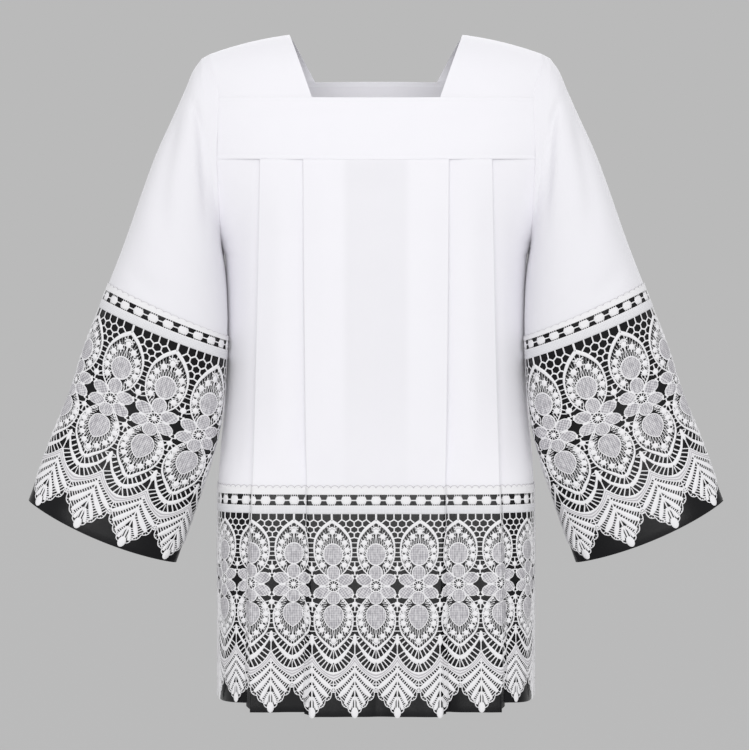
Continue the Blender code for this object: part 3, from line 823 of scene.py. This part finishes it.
def motif_axis():
    """What lies on the motif's axis."""
    c = Chart()
    spokes(c, (0, 58.9), UPPER_MIDDLE)
    spokes(c, (0, 196.3), LOWER_MIDDLE)
    c.line((0, 44.0), (0, 36.0), half=1.3, height=0.6, profile=ROUND)
    for v, radii, rim_radii, height, sides, rim in (
        (87.4, (12.2, 13.9), (12.0, 13.7), 0.42, 24, (30, 0.7, 0.85)),
        (110.6, (8.2, 9.0), (8.2, 9.0), 0.5, 22, (26, 0.66, 0.9)),
        (142.4, (8.5, 8.2), (8.5, 8.2), 0.5, 22, (26, 0.66, 0.9)),
    ):
        c.mound((0, v), radii, height, rings=DISC, sides=sides, fill=FILL)
        c.strip(oval((0, v), rim_radii, 0, rim[0]), *rim[1:], closed=True)
    eye = np.array([0, 127.5])
    c.mound(eye, (3.3, 3.3), 1.0, sides=12)
    c.strip(oval(eye, (7.2, 7.2), 0, 24), 0.7, 0.75, closed=True)
    for angle in np.arange(11) * 2 * math.pi / 11:
        way = np.array([math.sin(angle), math.cos(angle)])
        c.line(eye + way * 2.8, eye + way * 7.0, half=0.42, height=0.45)
    half = curve(SHIELD_HALF)
    shield = np.concatenate([half, half[-2:0:-1] * [-1, 1]])
    middle = np.array([0, 166.0])
    rings = [np.insert(middle + (shield - middle) * share, 2, h, axis=1) for share, h in SHIELD_RINGS]
    c.add(np.concatenate(rings), grid_faces(len(rings), len(shield), ring=True), FILL)
    c.mound(middle, (2.6, 3.4), 0.46, rings=((1.0, 0.9), (0.5, 1.0)), sides=12, fill=FILL)
    c.strip(shield, 0.7, 0.85, closed=True)
    c.lines(AXIS_THREADS)
    return c


# The fan's right half: its ribs and its scalloped lower edge, given from its axis
RIB_1 = ((-1.6, 231.4), (6.4, 240.4), (14.3, 248.4), (20.0, 253.4), (25.6, 257.6))
RIB_2 = ((-1.6, 241.6), (6.4, 252.4), (12.6, 259.9), (20.2, 267.6))
RIB_3 = ((-1.3, 252.8), (3.6, 260.4), (7.8, 268.0), (12.6, 276.8))
RIB_4 = ((0.9, 267.5), (3.4, 273.0), (5.2, 278.5), (6.4, 283.8))

# Each rib's line, half widths and height
RIBS = (
    (RIB_1, (1.7, 1.9, 2.2, 2.5, 2.9, 2.7, 1.7), 0.8),
    (RIB_2, (1.5, 1.9, 2.3, 2.8, 3.1, 2.8, 1.7), 0.85),
    (RIB_3, (1.2, 1.6, 2.0, 2.4, 2.7, 2.4, 1.5), 0.85),
    (RIB_4, (1.1, 1.4, 1.7, 2.1, 1.6), 0.8),
)
FAN_EDGE = (
    ((27.2, 261.9), (25.2, 261.9), (24.6, 265.5), (23.2, 269.4), (20.0, 271.9), (17.0, 272.6), (16.2, 275.8))
    + ((14.0, 279.6), (10.8, 281.2), (8.6, 282.2), (8.0, 285.0), (6.4, 287.2), (4.2, 288.2))
)
# How far bars reach from the fan's axis, where motifs stand side by side
BARS = (
    ((72.6, 5.2), (79.0, 4.4), (85.0, 4.4), (90.4, 4.6), (96.6, 5.6))
    + ((160.0, 4.2), (166.2, 3.4), (172.0, 3.2), (178.0, 3.6), (184.4, 4.4))
)
NET = (0.76, 0.5)
FAN_THREADS = {
    NET: (
        ((0, 46.2), (5, 43.2)),
        ((5, 36), (5, 43.2)),
        ((15, 36), (15, 43.2)),
        ((5, 43.2), (10, 46.2)),
        ((10, 46.2), (15, 43.2)),
        ((15, 43.2), (20, 47.4)),
        ((10, 46.2), (10, 51.0)),
        ((0, 51.2), (4.6, 53.6), (10, 51.0)),
        ((10, 51.0), (14.6, 53.8)),
        ((4.6, 53.6), (4.6, 58.6)),
        ((0, 60.6), (4.6, 58.4), (9.0, 61.2)),
        ((0, 65.8), (6.2, 67.4)),
    ),
    (0.55, 0.45): (((3.4, 108.0), (9.4, 105.6)), ((-0.1, 190.4), (6.0, 191.6))),
    (0.6, 0.5): (
        ((3.4, 103.6), (7.6, 100.6)),
        ((0, 113.4), (3.8, 113.8)),
        ((0, 143.0), (4.0, 142.2)),
        ((3.2, 149.2), (8.0, 150.6)),
        ((2.8, 153.0), (5.8, 156.6)),
    ),
    (0.9, 0.6): (((3.8, 112.6), (1.2, 118.4)), ((3.8, 142.6), (1.2, 137.2))),
    (0.45, 0.4): (
        ((25.0, 259.4), (25.9, 262.2)),
        ((22.6, 259.2), (24.8, 262.0)),
        ((21.6, 267.4), (24.2, 267.2)),
        ((20.6, 269.4), (21.2, 271.4)),
        ((17.6, 268.4), (17.4, 272.6)),
        ((14.2, 277.0), (15.6, 277.4)),
        ((12.8, 278.6), (13.0, 280.2)),
        ((10.0, 277.0), (9.6, 281.6)),
        ((7.4, 284.0), (8.2, 284.4)),
    ),
    (0.4, 0.5): (((2.6, 272.0), (2.9, 282.0)),),
}
FAN_AXIS_THREADS = {
    NET: (
        ((0, 46.2), (0, 51.2)),
        ((0, 60.6), (0, 65.8)),
        ((0, 96.6), (0, 102.6)),
        ((0, 108.6), (0, 113.4)),
        ((0, 143.0), (0, 147.4)),
        ((0, 153.4), (0, 160.0)),
    ),
    (0.7, 0.5): (((0, 200.0), (0, 213.6)),),
    (0.8, 0.55): (((0, 226.0), (0, 270.0)),),
}


def fan_side():
    """Half of what mirrors about the fan's axis."""
    c = Chart()
    c.lines(FAN_THREADS)
    for v, w in BARS:
        c.line((-0.1, v), (w, v), half=0.55)
    for rib, half, height in RIBS:
        c.strip(curve(rib, 2.0), half, height, profile=ROUND)
    for upper, lower, count in ((RIB_1, RIB_2, 10), (RIB_2, RIB_3, 8), (RIB_3, RIB_4, 6)):
        c.ladder(curve(lower), curve(upper), (np.arange(count) + 0.9) / (count + 0.5))
    c.strip(curve(FAN_EDGE, 1.6), 0.55, 0.5)
    return c


def fan_axis():
    """What lies on the fan's axis."""
    c = Chart()
    c.lines(FAN_AXIS_THREADS)
    c.mound((0, 105.6), (3.9, 3.7), 1.1, sides=12)
    c.mound((0, 150.6), (3.8, 3.6), 1.1, sides=12)
    c.mound((0, 195.5), (2.6, 7.6), 0.7, sides=12)
    c.line((0, 268.5), (0, 284.0), half=1.0, height=0.7, profile=ROUND)
    c.mound((0, 287.8), (4.5, 7.1), 1.1, sides=14)
    return c


def openwork():
    """One repeat of the lace below its heading."""
    chart = Chart()
    for half, axis, shift in ((motif_side(), motif_axis(), 0.0), (fan_side(), fan_axis(), HALF)):
        chart.take(half, shift=shift)
        chart.take(half, side=-1, shift=shift)
        chart.take(axis, shift=shift)
    chart.strip(across_repeat(31.4), 4.75, 0.5, profile=FLAT, fill=TAPE)
    return chart


# ---------------------------------------------------------------- materials


MARK_SCALE = (0.55, 0.14, 0.3)  # of the streaks in the lace's woven parts


class Nodes:
    """A short way to add and link the nodes of a material or a world."""

    def __init__(self, owner):
        owner.use_nodes = True
        self.owner = owner
        self.tree = owner.node_tree

    def add(self, kind, values=(), **settings):
        node = self.tree.nodes.new(kind)
        for name, value in settings.items():
            setattr(node, name, value)
        for socket, value in dict(values).items():
            if isinstance(value, bpy.types.NodeSocket):
                self.tree.links.new(value, node.inputs[socket])
            else:
                node.inputs[socket].default_value = value
        return node

    def math(self, operation, a, b=0.0, c=0.0):
        return self.add("ShaderNodeMath", {0: a, 1: b, 2: c}, operation=operation).outputs[0]

    def mix(self, factor, a, b):
        return self.add("ShaderNodeMix", {0: factor, 6: a, 7: b}, data_type="RGBA").outputs[2]

    def place(self, name):
        """The cloth's or the lace's own coordinates, in millimetres, save that the cloth's third one is its
        painted shade.
        """
        return self.add("ShaderNodeAttribute", attribute_name=name).outputs["Vector"]

    def weave(self, place, pitch):
        """A plain weave's height."""
        split = self.add("ShaderNodeSeparateXYZ", {0: place}).outputs
        turns = [self.math("MULTIPLY", split[axis], 2 * math.pi / pitch) for axis in (0, 1)]
        waves = [self.math("SINE", turn) for turn in turns]
        return self.math("ADD", *waves)

    def noise(self, place, scale, detail):
        values = {"Vector": place, "Scale": scale, "Detail": detail}
        return self.add("ShaderNodeTexNoise", values).outputs["Fac"]

    def finish(self, colour=None, bump=None, strength=0.0, distance=0.0, **values):
        """The material, with its shader's values and what is linked to it."""
        shader = self.tree.nodes["Principled BSDF"]
        for name, value in values.items():
            shader.inputs[name.replace("_", " ")].default_value = value
        if colour is not None:
            self.tree.links.new(colour, shader.inputs["Base Color"])
        if bump is not None:
            node = self.add("ShaderNodeBump", {"Strength": strength, "Distance": distance, "Height": bump})
            self.tree.links.new(node.outputs["Normal"], shader.inputs["Normal"])
        return self.owner


def cloth_material():
    n = Nodes(bpy.data.materials.new("White cloth"))
    place = n.place("cloth_place")
    colour = n.mix(n.noise(place, 0.03, 3.0), (0.89, 0.882, 0.922, 1), (0.906, 0.898, 0.937, 1))
    # The place's third value is a painted shade, which mixes the cloth's colour towards grey.
    shade = n.add("ShaderNodeSeparateXYZ", {0: place}).outputs[2]
    colour = n.mix(shade, colour, (0.45, 0.45, 0.47, 1))
    base = (0.898, 0.89, 0.93, 1)
    looks = {"Base_Color": base, "Roughness": 0.72, "Sheen_Weight": 0.2, "Sheen_Roughness": 0.5}
    return n.finish(colour, n.weave(place, 0.9), 0.08, 0.0001, **looks)


def satin_material():
    n = Nodes(bpy.data.materials.new("Black satin"))
    height = n.weave(n.place("cloth_place"), 0.8)
    return n.finish(None, height, 0.05, 0.0001, Base_Color=(0.006, 0.006, 0.007, 1), Roughness=0.27, IOR=1.29)


def lace_material(name, bright, dark, pitch, strength, marks=0.0):
    """Thread or woven fill, with a weave from the lace's own coordinates."""
    n = Nodes(bpy.data.materials.new(name))
    place = n.place("lace_place")
    height = n.weave(place, pitch)
    shade = n.math("MULTIPLY_ADD", height, -0.3, 0.5)
    if marks:
        stretched = n.add("ShaderNodeVectorMath", {0: place, 1: MARK_SCALE}, operation="MULTIPLY").outputs[0]
        noise = n.noise(stretched, 1.0, 2.0)
        shade = n.math("ADD", shade, n.math("MULTIPLY_ADD", noise, marks, -0.5 * marks))
    shade = n.add("ShaderNodeClamp", {0: shade}).outputs[0]
    average = tuple(0.5 * (a + b) for a, b in zip(bright, dark))
    return n.finish(n.mix(shade, bright, dark), height, strength, 0.0002, Base_Color=average, Roughness=0.8)


def floor_material(brightness, light, share=0.25):
    """A plain floor that is as bright as the wall where nothing shades it, and takes only a soft shadow."""
    n = Nodes(bpy.data.materials.new("Studio floor"))
    looks = {"Roughness": 1.0, "Specular_IOR_Level": 0.0, "Emission_Strength": 1.0}
    lit, glow = share * brightness / light, (1 - share) * brightness
    return n.finish(Base_Color=(lit, lit, lit, 1), Emission_Color=(glow, glow, glow, 1), **looks)


# ---------------------------------------------------------------- pieces


def make_mesh(name, points, faces, materials, indices=None, attribute=None):
    mesh = bpy.data.meshes.new(name)
    mesh.from_pydata((points * MM).tolist(), [], faces.tolist())
    for material in materials:
        mesh.materials.append(material)
    if indices is not None:
        mesh.polygons.foreach_set("material_index", indices.astype(np.int32))
    if attribute is not None:
        label, values = attribute
        layer = mesh.attributes.new(label, "FLOAT_VECTOR", "POINT")
        layer.data.foreach_set("vector", np.ascontiguousarray(values, np.float32).ravel())
    mesh.polygons.foreach_set("use_smooth", np.ones(len(mesh.polygons), bool))
    mesh.update()
    thing = bpy.data.objects.new(name, mesh)
    bpy.context.scene.collection.objects.link(thing)
    return thing


def settle(piece, node):
    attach(piece, "root")
    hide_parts(node)


def sheet_piece(node, grid, wall, material, slot, ring=False, shade=0.0):
    """A thin shell through a fine grid, with its cloth's coordinates and its painted shade, which makes it
    greyer.
    """
    rows, columns = grid.shape[:2]
    across = path_lengths(grid[rows // 2])[None, :]
    down = path_lengths(grid[:, columns // 2])[:, None]
    place = np.stack(np.broadcast_arrays(across, down, shade), axis=-1).reshape(-1, 3)
    faces = grid_faces(rows, columns, ring)
    piece = make_mesh(f"soft_{node}", grid.reshape(-1, 3), faces, [material], None, ("cloth_place", place))
    thicken = piece.modifiers.new("Cloth thickness", "SOLIDIFY")
    thicken.thickness = wall * MM
    thicken.offset = 0.0
    piece.modifiers.new("Even shading", "WEIGHTED_NORMAL").weight = 100
    settle(piece, node)


def sheet_pair(node, grid, *looks, ring=False, shade=0.0):
    """The left piece and its mirror image."""
    sheet_piece(f"{node}_left", grid, *looks, ring, shade)
    mirrored = (grid * [-1.0, 1.0, 1.0])[:, ::-1]
    sheet_piece(f"{node}_right", np.roll(mirrored, 1, axis=1) if ring else mirrored, *looks, ring, shade)


def lace_piece(node, chart, place, repeats, materials, limit=math.inf, mirror=False):
    """Lace laid on a surface, as far as the limit: place(u, v) gives points and outward vectors."""
    points, weave, faces, fill = chart.joined()
    parts, count = [], 0
    for repeat in repeats:
        u = points[:, 0] + repeat * REPEAT
        kept = (np.abs(u) < limit)[faces].any(axis=1)
        if not kept.any():
            continue
        at, out = place(u, points[:, 1])
        laid = at + out * (points[:, 2] + LACE_LIFT)[:, None]
        some = faces[kept]
        diagonals = [laid[some[:, end]] - laid[some[:, start]] for start, end in ((0, 2), (1, 3))]
        wrong = (np.cross(*diagonals) * out[some[:, 0]]).sum(axis=1) < 0
        some[wrong] = some[wrong][:, ::-1]
        used, compact = np.unique(some, return_inverse=True)
        own_weave = np.insert(weave[used], 2, WEAVE_SHIFT * repeat, axis=1)
        parts.append((laid[used], own_weave, compact.reshape(some.shape) + count, fill[kept]))
        count += len(used)
    laid, weave, faces, fill = (np.concatenate(values) for values in zip(*parts))
    if mirror:
        laid, faces = laid * [-1.0, 1.0, 1.0], faces[:, ::-1]
    piece = make_mesh(f"soft_{node}", laid, faces, materials, fill, ("lace_place", weave))
    settle(piece, node)


def body_heights(body, levels, rows):
    """A table of heights between levels: a pair, at the centre and the side, or a row of them."""
    tables = []
    for level in levels:
        if len(level) == 2:
            level = seam_heights(level, body.share_at(level[0]))
        tables.append(np.asarray(level))
    tables = np.array(tables)
    knots = np.cumsum([0.0, *np.abs(np.diff(tables[:, tables.shape[1] // 2]))])
    return read_line(tables, knots, np.linspace(0, knots[-1], rows))


# Swellings down the panels: their middle's distance from the centre, width, height, and where they fade in
SWELLINGS = (
    (66, 17.0, 1.5, -176, -240),
    (124, 15.0, 1.6, -180, -260),
    (178, 14.0, -2.4, -190, -300),
)


def drape_body(grid, body):
    """Soft hollows and swellings down the panels, most of them between the folds."""
    x, z = np.abs(grid[..., 0]), grid[..., 2]
    sway = np.sin(z / 61.0 + grid[..., 0] / 37.0) + 0.6 * np.sin(z / 97.0 - grid[..., 0] / 23.0)
    out = -2.6 * bell(x, 34.0) * (1 - ramp(z, -330, -470) * 0.6) * ramp(z, -176, -215)
    for middle, width, height, start, full in SWELLINGS:
        out += height * bell(x - middle, width) * ramp(z, start, full)
    out += 0.35 * sway * ramp(z, -260, -560)
    hollow = 1.6 + 1.4 * ramp(z, -300, -540)
    for fold, start, scale in ((92.0, 3, 1.0), (151.5, 7, 0.8)):
        behind = np.clip(body.stations - start, 0, 1) * (body.stations < start + 2)
        out -= behind * scale * hollow * bell(x - fold - 2, 13.0) * ramp(z, -190, -330)
    out *= 1 - ramp(-z, 535, 584)  # flat again where the lace's heading lies
    return grid + outward_normals(grid) * out[..., None]


def ruffle_lining(grid):
    """Waves in the hem's lining, which all go inwards, clear of the lace."""
    wave = 1 + np.sin(grid[..., 0] / 8.0 + grid[..., 2] / 150.0) * np.cos(grid[..., 0] / 31.0)
    depth = LINING_WAVE * wave * ramp(-grid[..., 2], 640, 850)
    return grid - outward_normals(grid) * depth[..., None]


def unit(vectors):
    return vectors / np.linalg.norm(vectors, axis=1, keepdims=True)


def hem_place(facing):
    """Where the hem's lace lies, by its own coordinates, and how far it reaches from the centre."""
    bridge = Body(facing, LACE_ROUNDING)
    normals = bridge.outward()
    numbers = np.arange(len(bridge.stations))
    tips = np.interp(bridge.stations, HEM["station"], HEM["lace_tip"])

    def place(u, v):
        columns = np.interp(u, bridge.hem_lengths, numbers)
        share = np.clip((v - TAPE_TOP) / (LACE_DEPTH - TAPE_TOP), 0, None)
        tip = np.interp(columns, numbers, tips)
        z = np.where(v < TAPE_TOP, TRIM_TOP - v, LACE_TOP + share * (tip - LACE_TOP))
        return bridge.at(columns, z), unit(read_grid(normals, bridge.row(z), columns))

    return place, bridge.hem_lengths[-1]


def build_body(cloth, satin, lace, charts):
    for name, facing, top in (("front", -1, FRONT_YOKE_BOTTOM), ("back", 1, BACK_YOKE_BOTTOM)):
        body = Body(facing)
        start = (top[0] - SEAM_GAP, top[1] - SEAM_GAP)
        levels = [start, (-224, -222), (-278, -278), (-345, -345), (CLOTH_BOTTOM, CLOTH_BOTTOM)]
        grid = drape_body(body.grid(body_heights(body, levels, BODY_ROWS)), body)
        x, z = np.abs(grid[..., 0]), grid[..., 2]
        # painted shade: the cloth is greyer down the middle, and less so lower down
        shade = CENTRE_PAINTED_SHADE * (1 - ramp(x, 34, 46)) * (1 - 0.6 * ramp(-z, 420, 560))
        sheet_piece(f"{name}_panel", grid, CLOTH_WALL, cloth, "white_cloth", shade=shade)
        hem = np.interp(body.stations, HEM["station"], HEM["lining"])
        levels = [(CLOTH_BOTTOM - SEAM_GAP,) * 2, hem]
        grid = ruffle_lining(body.grid(body_heights(body, levels, LINING_ROWS)))
        sheet_piece(f"hem_lining_{name}", grid, LINING_WALL, satin, "black_satin")
        place, limit = hem_place(facing)
        for part, chart in charts.items():
            repeats = range(-HEM_REPEATS, HEM_REPEATS + 1)
            lace_piece(f"hem_{part}_{name}", chart, place, repeats, lace, limit)


# Hollows in a sleeve, in front view: their line, depth, width, and over what length they fade in
SLEEVE_VALLEYS = (
    (((239, -80), (228, -130), (220, -200), (214, -290)), 6.5, 8.0, 40.0),
    (((256, -84), (266, -150), (276, -224), (266, -320)), 4.5, 13.0, 60.0),
    (((322, -300), (300, -330), (262, -362)), 2.4, 14.0, 40.0),
)


def drape_sleeve(grid):
    """Long soft hollows down the front and back of a sleeve."""
    normals = outward_normals(grid, ring=True)
    out = np.zeros(grid.shape[:2])
    for side, scale in ((-1, 1.0), (1, 0.8)):
        facing = np.clip(side * normals[..., 1] * 1.6, 0, 1)
        for path, depth, width, fade_in in SLEEVE_VALLEYS:
            line = curve(path, 4.0)
            at = path_lengths(line)
            distance = np.linalg.norm(grid[..., None, [0, 2]] - line, axis=-1)
            nearest = distance.argmin(axis=-1)
            along = at[nearest]
            off = distance.min(axis=-1)
            strength = ramp(along, 0, fade_in) * (1 - ramp(along, 0.55 * at[-1], at[-1]))
            spread = width * (0.7 + 0.6 * along / at[-1])
            out -= scale * facing * depth * strength * (bell(off, spread) - 0.35 * bell(off, 2.2 * spread))
    return grid + normals * out[..., None]


def sleeve_grid(distances):
    return np.array([sleeve_ring(sleeve_place(d)) for d in distances])


def sleeve_lace_place():
    """Where the sleeve's lace lies, as a function of its own coordinates."""
    distances = np.arange(0, SLEEVE_LACE_LENGTH + 2 * SLEEVE_LACE_STEP, SLEEVE_LACE_STEP)
    table = sleeve_grid(distances)
    for extra in (1, 2):  # past the cuff the sleeve goes straight on
        table[-extra] = table[-3] + (table[-3] - table[-4]) * (3 - extra)
    normals = outward_normals(table, ring=True)
    stretch = (SLEEVE_TIP - TAPE_TOP) / (LACE_DEPTH - TAPE_TOP)

    def place(u, v):
        distance = np.where(v < TAPE_TOP, v, TAPE_TOP + (v - TAPE_TOP) * stretch)
        slanted = u - SLEEVE_SLANT * (LACE_DEPTH - v)
        turn = (slanted / REPEAT / SLEEVE_REPEATS * SLEEVE_COLUMNS) % SLEEVE_COLUMNS
        at, out = (read_grid(t, distance / SLEEVE_LACE_STEP, turn, ring=True) for t in (table, normals))
        return at, unit(out)

    return place


def build_sleeves(cloth, satin, lace, charts):
    places = np.concatenate([[0, 0.35, 0.7], np.linspace(1, sleeve_place(SLEEVE_CLOTH_PAST), BODY_ROWS)])
    grid = drape_sleeve(np.array([sleeve_ring(p) for p in places]))
    # the sleeves' cloth is greyed by a painted shade
    sheet_pair("sleeve", grid, CLOTH_WALL, cloth, "white_cloth", ring=True, shade=SLEEVE_PAINTED_SHADE)
    grid = sleeve_grid(np.linspace(SLEEVE_CLOTH_PAST + SEAM_GAP, SLEEVE_LACE_LENGTH, LINING_ROWS))
    sheet_pair("sleeve_lining", grid, LINING_WALL, satin, "black_satin", ring=True)
    place = sleeve_lace_place()
    for side in ("left", "right"):
        for part, chart in charts.items():
            repeats = range(SLEEVE_REPEATS)
            lace_piece(f"sleeve_{part}_{side}", chart, place, repeats, lace, mirror=side == "right")


def build_yoke(node, facing, top, bottom, cloth):
    """A yoke, a little raised along its seams, with a line of stitching beside each."""
    shares = np.sort(np.concatenate([np.linspace(0, 1, 60), [0.985]]))
    depth = top[0] - bottom[0]
    near_top, near_bottom = [1.0, 5.4, 6.0, 6.6], np.array([0.6, 1.6, 4.2, 4.8, 5.4])
    downs = np.unique(np.concatenate([np.linspace(0, depth, 26), near_top, depth - near_bottom]))
    rows = []
    for down in downs:
        heights = seam_heights([t + (b - t) * down / depth for t, b in zip(top, bottom)], shares)
        plans = [Plan(z, facing) for z in heights]
        half = [plan.point(plan.length_to(share * plan.side_x)) for plan, share in zip(plans, shares)]
        rows.append(np.column_stack([whole(np.array(half), facing), both_ways(heights)]))
    grid = np.array(rows)
    down = downs[:, None]
    up = depth - down
    out = 0.25 * bell(up - 2.4, 1.7) - 0.2 * bell(up - 5.0, 0.7)
    out = out + 0.15 * bell(down - 2.8, 2.2) * ramp(down, 0, 1.5) - 0.2 * bell(down - 6.0, 0.7)
    sway = 0.5 * np.sin(grid[..., 0] / 41.0 + down / 23.0)
    out = out + sway * ramp(down, 8, 30) * (1 - ramp(down, depth - 26, depth - 8))
    out[-1] = -0.1
    grid = grid + outward_normals(grid) * out[..., None]
    sheet_piece(node, grid, CLOTH_WALL, cloth, "white_cloth")


def build_straps(cloth):
    shares = np.linspace(0, 1, 33)
    chord_share = shares[:, None]
    rows = []
    for turn in np.linspace(-1, 1, 61):
        facing = facing_of(turn)
        chords = [
            neck + (arm - neck) * chord_share
            for neck, arm in ((neck_edge(t), armhole_point(t)) for t in (turn, facing))
        ]
        bow = np.array([yoke_edge(share, facing) for share in shares]) - chords[1]
        crown = STRAP_CROWN * 4 * chord_share * (1 - chord_share) * [0.0, 0.0, 1.0] * (1 - abs(turn))
        rows.append(chords[0] + bow * abs(turn) ** 2 + crown)
    grid = np.array(rows)
    out = -0.2 * bell(shares - 0.06, 0.012)  # stitching beside the neck
    grid = grid + outward_normals(grid) * out[:, None]
    sheet_pair("shoulder_strap", grid, CLOTH_WALL, cloth, "white_cloth")


def sun(name, towards, strength, spread):
    light = bpy.data.lights.new(name, "SUN")
    light.energy = strength
    light.angle = math.radians(spread)
    thing = bpy.data.objects.new(name, light)
    thing.rotation_mode = "QUATERNION"
    thing.rotation_quaternion = Vector([-part for part in towards]).to_track_quat("-Z", "Y")
    bpy.context.scene.collection.objects.link(thing)


# The stage, and the camera in metres
CAMERA_PLACE = (-0.002, -3.4, -0.448)
CAMERA_LENS = 123.6
WALL_SEEN = 0.491
WALL_LIGHT = 0.69
FLOOR_Z = -1040.0
FLOOR_REACH = 20000.0
SUNS = (
    ("Left", (-0.2, -1.0, 0.05), 0.96, 28),
    ("Right", (0.2, -1.0, 0.05), 0.89, 28),
    ("Rear", (0.1, 1.0, 0.5), 1.3, 60),
)


def build_world():
    """A wall that the camera sees in one grey and that lights the garment with another."""
    n = Nodes(bpy.data.worlds.new("Studio"))
    n.tree.nodes.clear()
    camera_ray = n.add("ShaderNodeLightPath").outputs["Is Camera Ray"]
    lit = n.add("ShaderNodeBackground", {"Color": (WALL_LIGHT, WALL_LIGHT, WALL_LIGHT + 0.005, 1)})
    seen = n.add("ShaderNodeBackground", {"Color": (WALL_SEEN, WALL_SEEN, WALL_SEEN, 1)})
    mixed = n.add("ShaderNodeMixShader", {0: camera_ray, 1: lit.outputs[0], 2: seen.outputs[0]})
    n.add("ShaderNodeOutputWorld", {"Surface": mixed.outputs[0]})
    return n.owner


def build_stage():
    """A grey room with soft light: the floor is as bright as the wall, so that no horizon shows."""
    scene = bpy.context.scene
    scene.view_settings.view_transform = "Standard"
    scene.world = build_world()
    lit_floor = WALL_LIGHT
    for name, towards, strength, spread in SUNS:
        sun(name, towards, strength, spread)
        lit_floor += strength * towards[2] / np.linalg.norm(towards) / math.pi
    corners = np.array([(x, y, 0) for x, y in ((-1, -1), (1, -1), (1, 1), (-1, 1))]) * FLOOR_REACH
    material = floor_material(WALL_SEEN, lit_floor)
    floor = make_mesh("floor", corners + [0, 0, FLOOR_Z], np.array([(0, 1, 2, 3)]), [material])
    floor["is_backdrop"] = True
    camera = bpy.data.cameras.new("Camera")
    camera.lens = CAMERA_LENS
    camera.sensor_width = 36.0
    camera.clip_end = 100.0
    thing = bpy.data.objects.new("Camera", camera)
    thing.location = CAMERA_PLACE
    thing.rotation_euler = (math.radians(90), 0, 0)
    scene.collection.objects.link(thing)
    scene.camera = thing


def main():
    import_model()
    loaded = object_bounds()
    cloth, satin = cloth_material(), satin_material()
    thread, thread_dark = (0.91, 0.905, 0.92, 1), (0.85, 0.845, 0.865, 1)
    lace = [
        lace_material("Lace thread", thread, thread_dark, 1.1, 0.15),
        lace_material("Lace fill", (0.74, 0.73, 0.75, 1), (0.34, 0.33, 0.36, 1), 2.2, 0.5, marks=2.4),
        lace_material("Lace tape", (0.86, 0.86, 0.88, 1), (0.72, 0.72, 0.75, 1), 1.8, 0.3, marks=0.5),
        # grey that stands as painted shade in the grooves and along the scallops
        lace_material("Lace painted shade", (0.62, 0.6, 0.63, 1), (0.5, 0.49, 0.51, 1), 1.4, 0.3),
    ]
    build_yoke("yoke_front", -1, FRONT_YOKE_TOP, FRONT_YOKE_BOTTOM, cloth)
    build_yoke("yoke_back", 1, BACK_YOKE_TOP, BACK_YOKE_BOTTOM, cloth)
    build_straps(cloth)
    charts = {"trim": edging(), "lace": openwork()}
    build_body(cloth, satin, lace, charts)
    build_sleeves(cloth, satin, lace, charts)
    build_stage()
    {"loaded": flat_numbers(loaded), "finished": flat_numbers(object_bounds())}


def flat_numbers(value):
    """Nested corners as plain lists of numbers."""
    if hasattr(value, "__len__"):
        return [flat_numbers(v) for v in value]
    return float(value)


main()
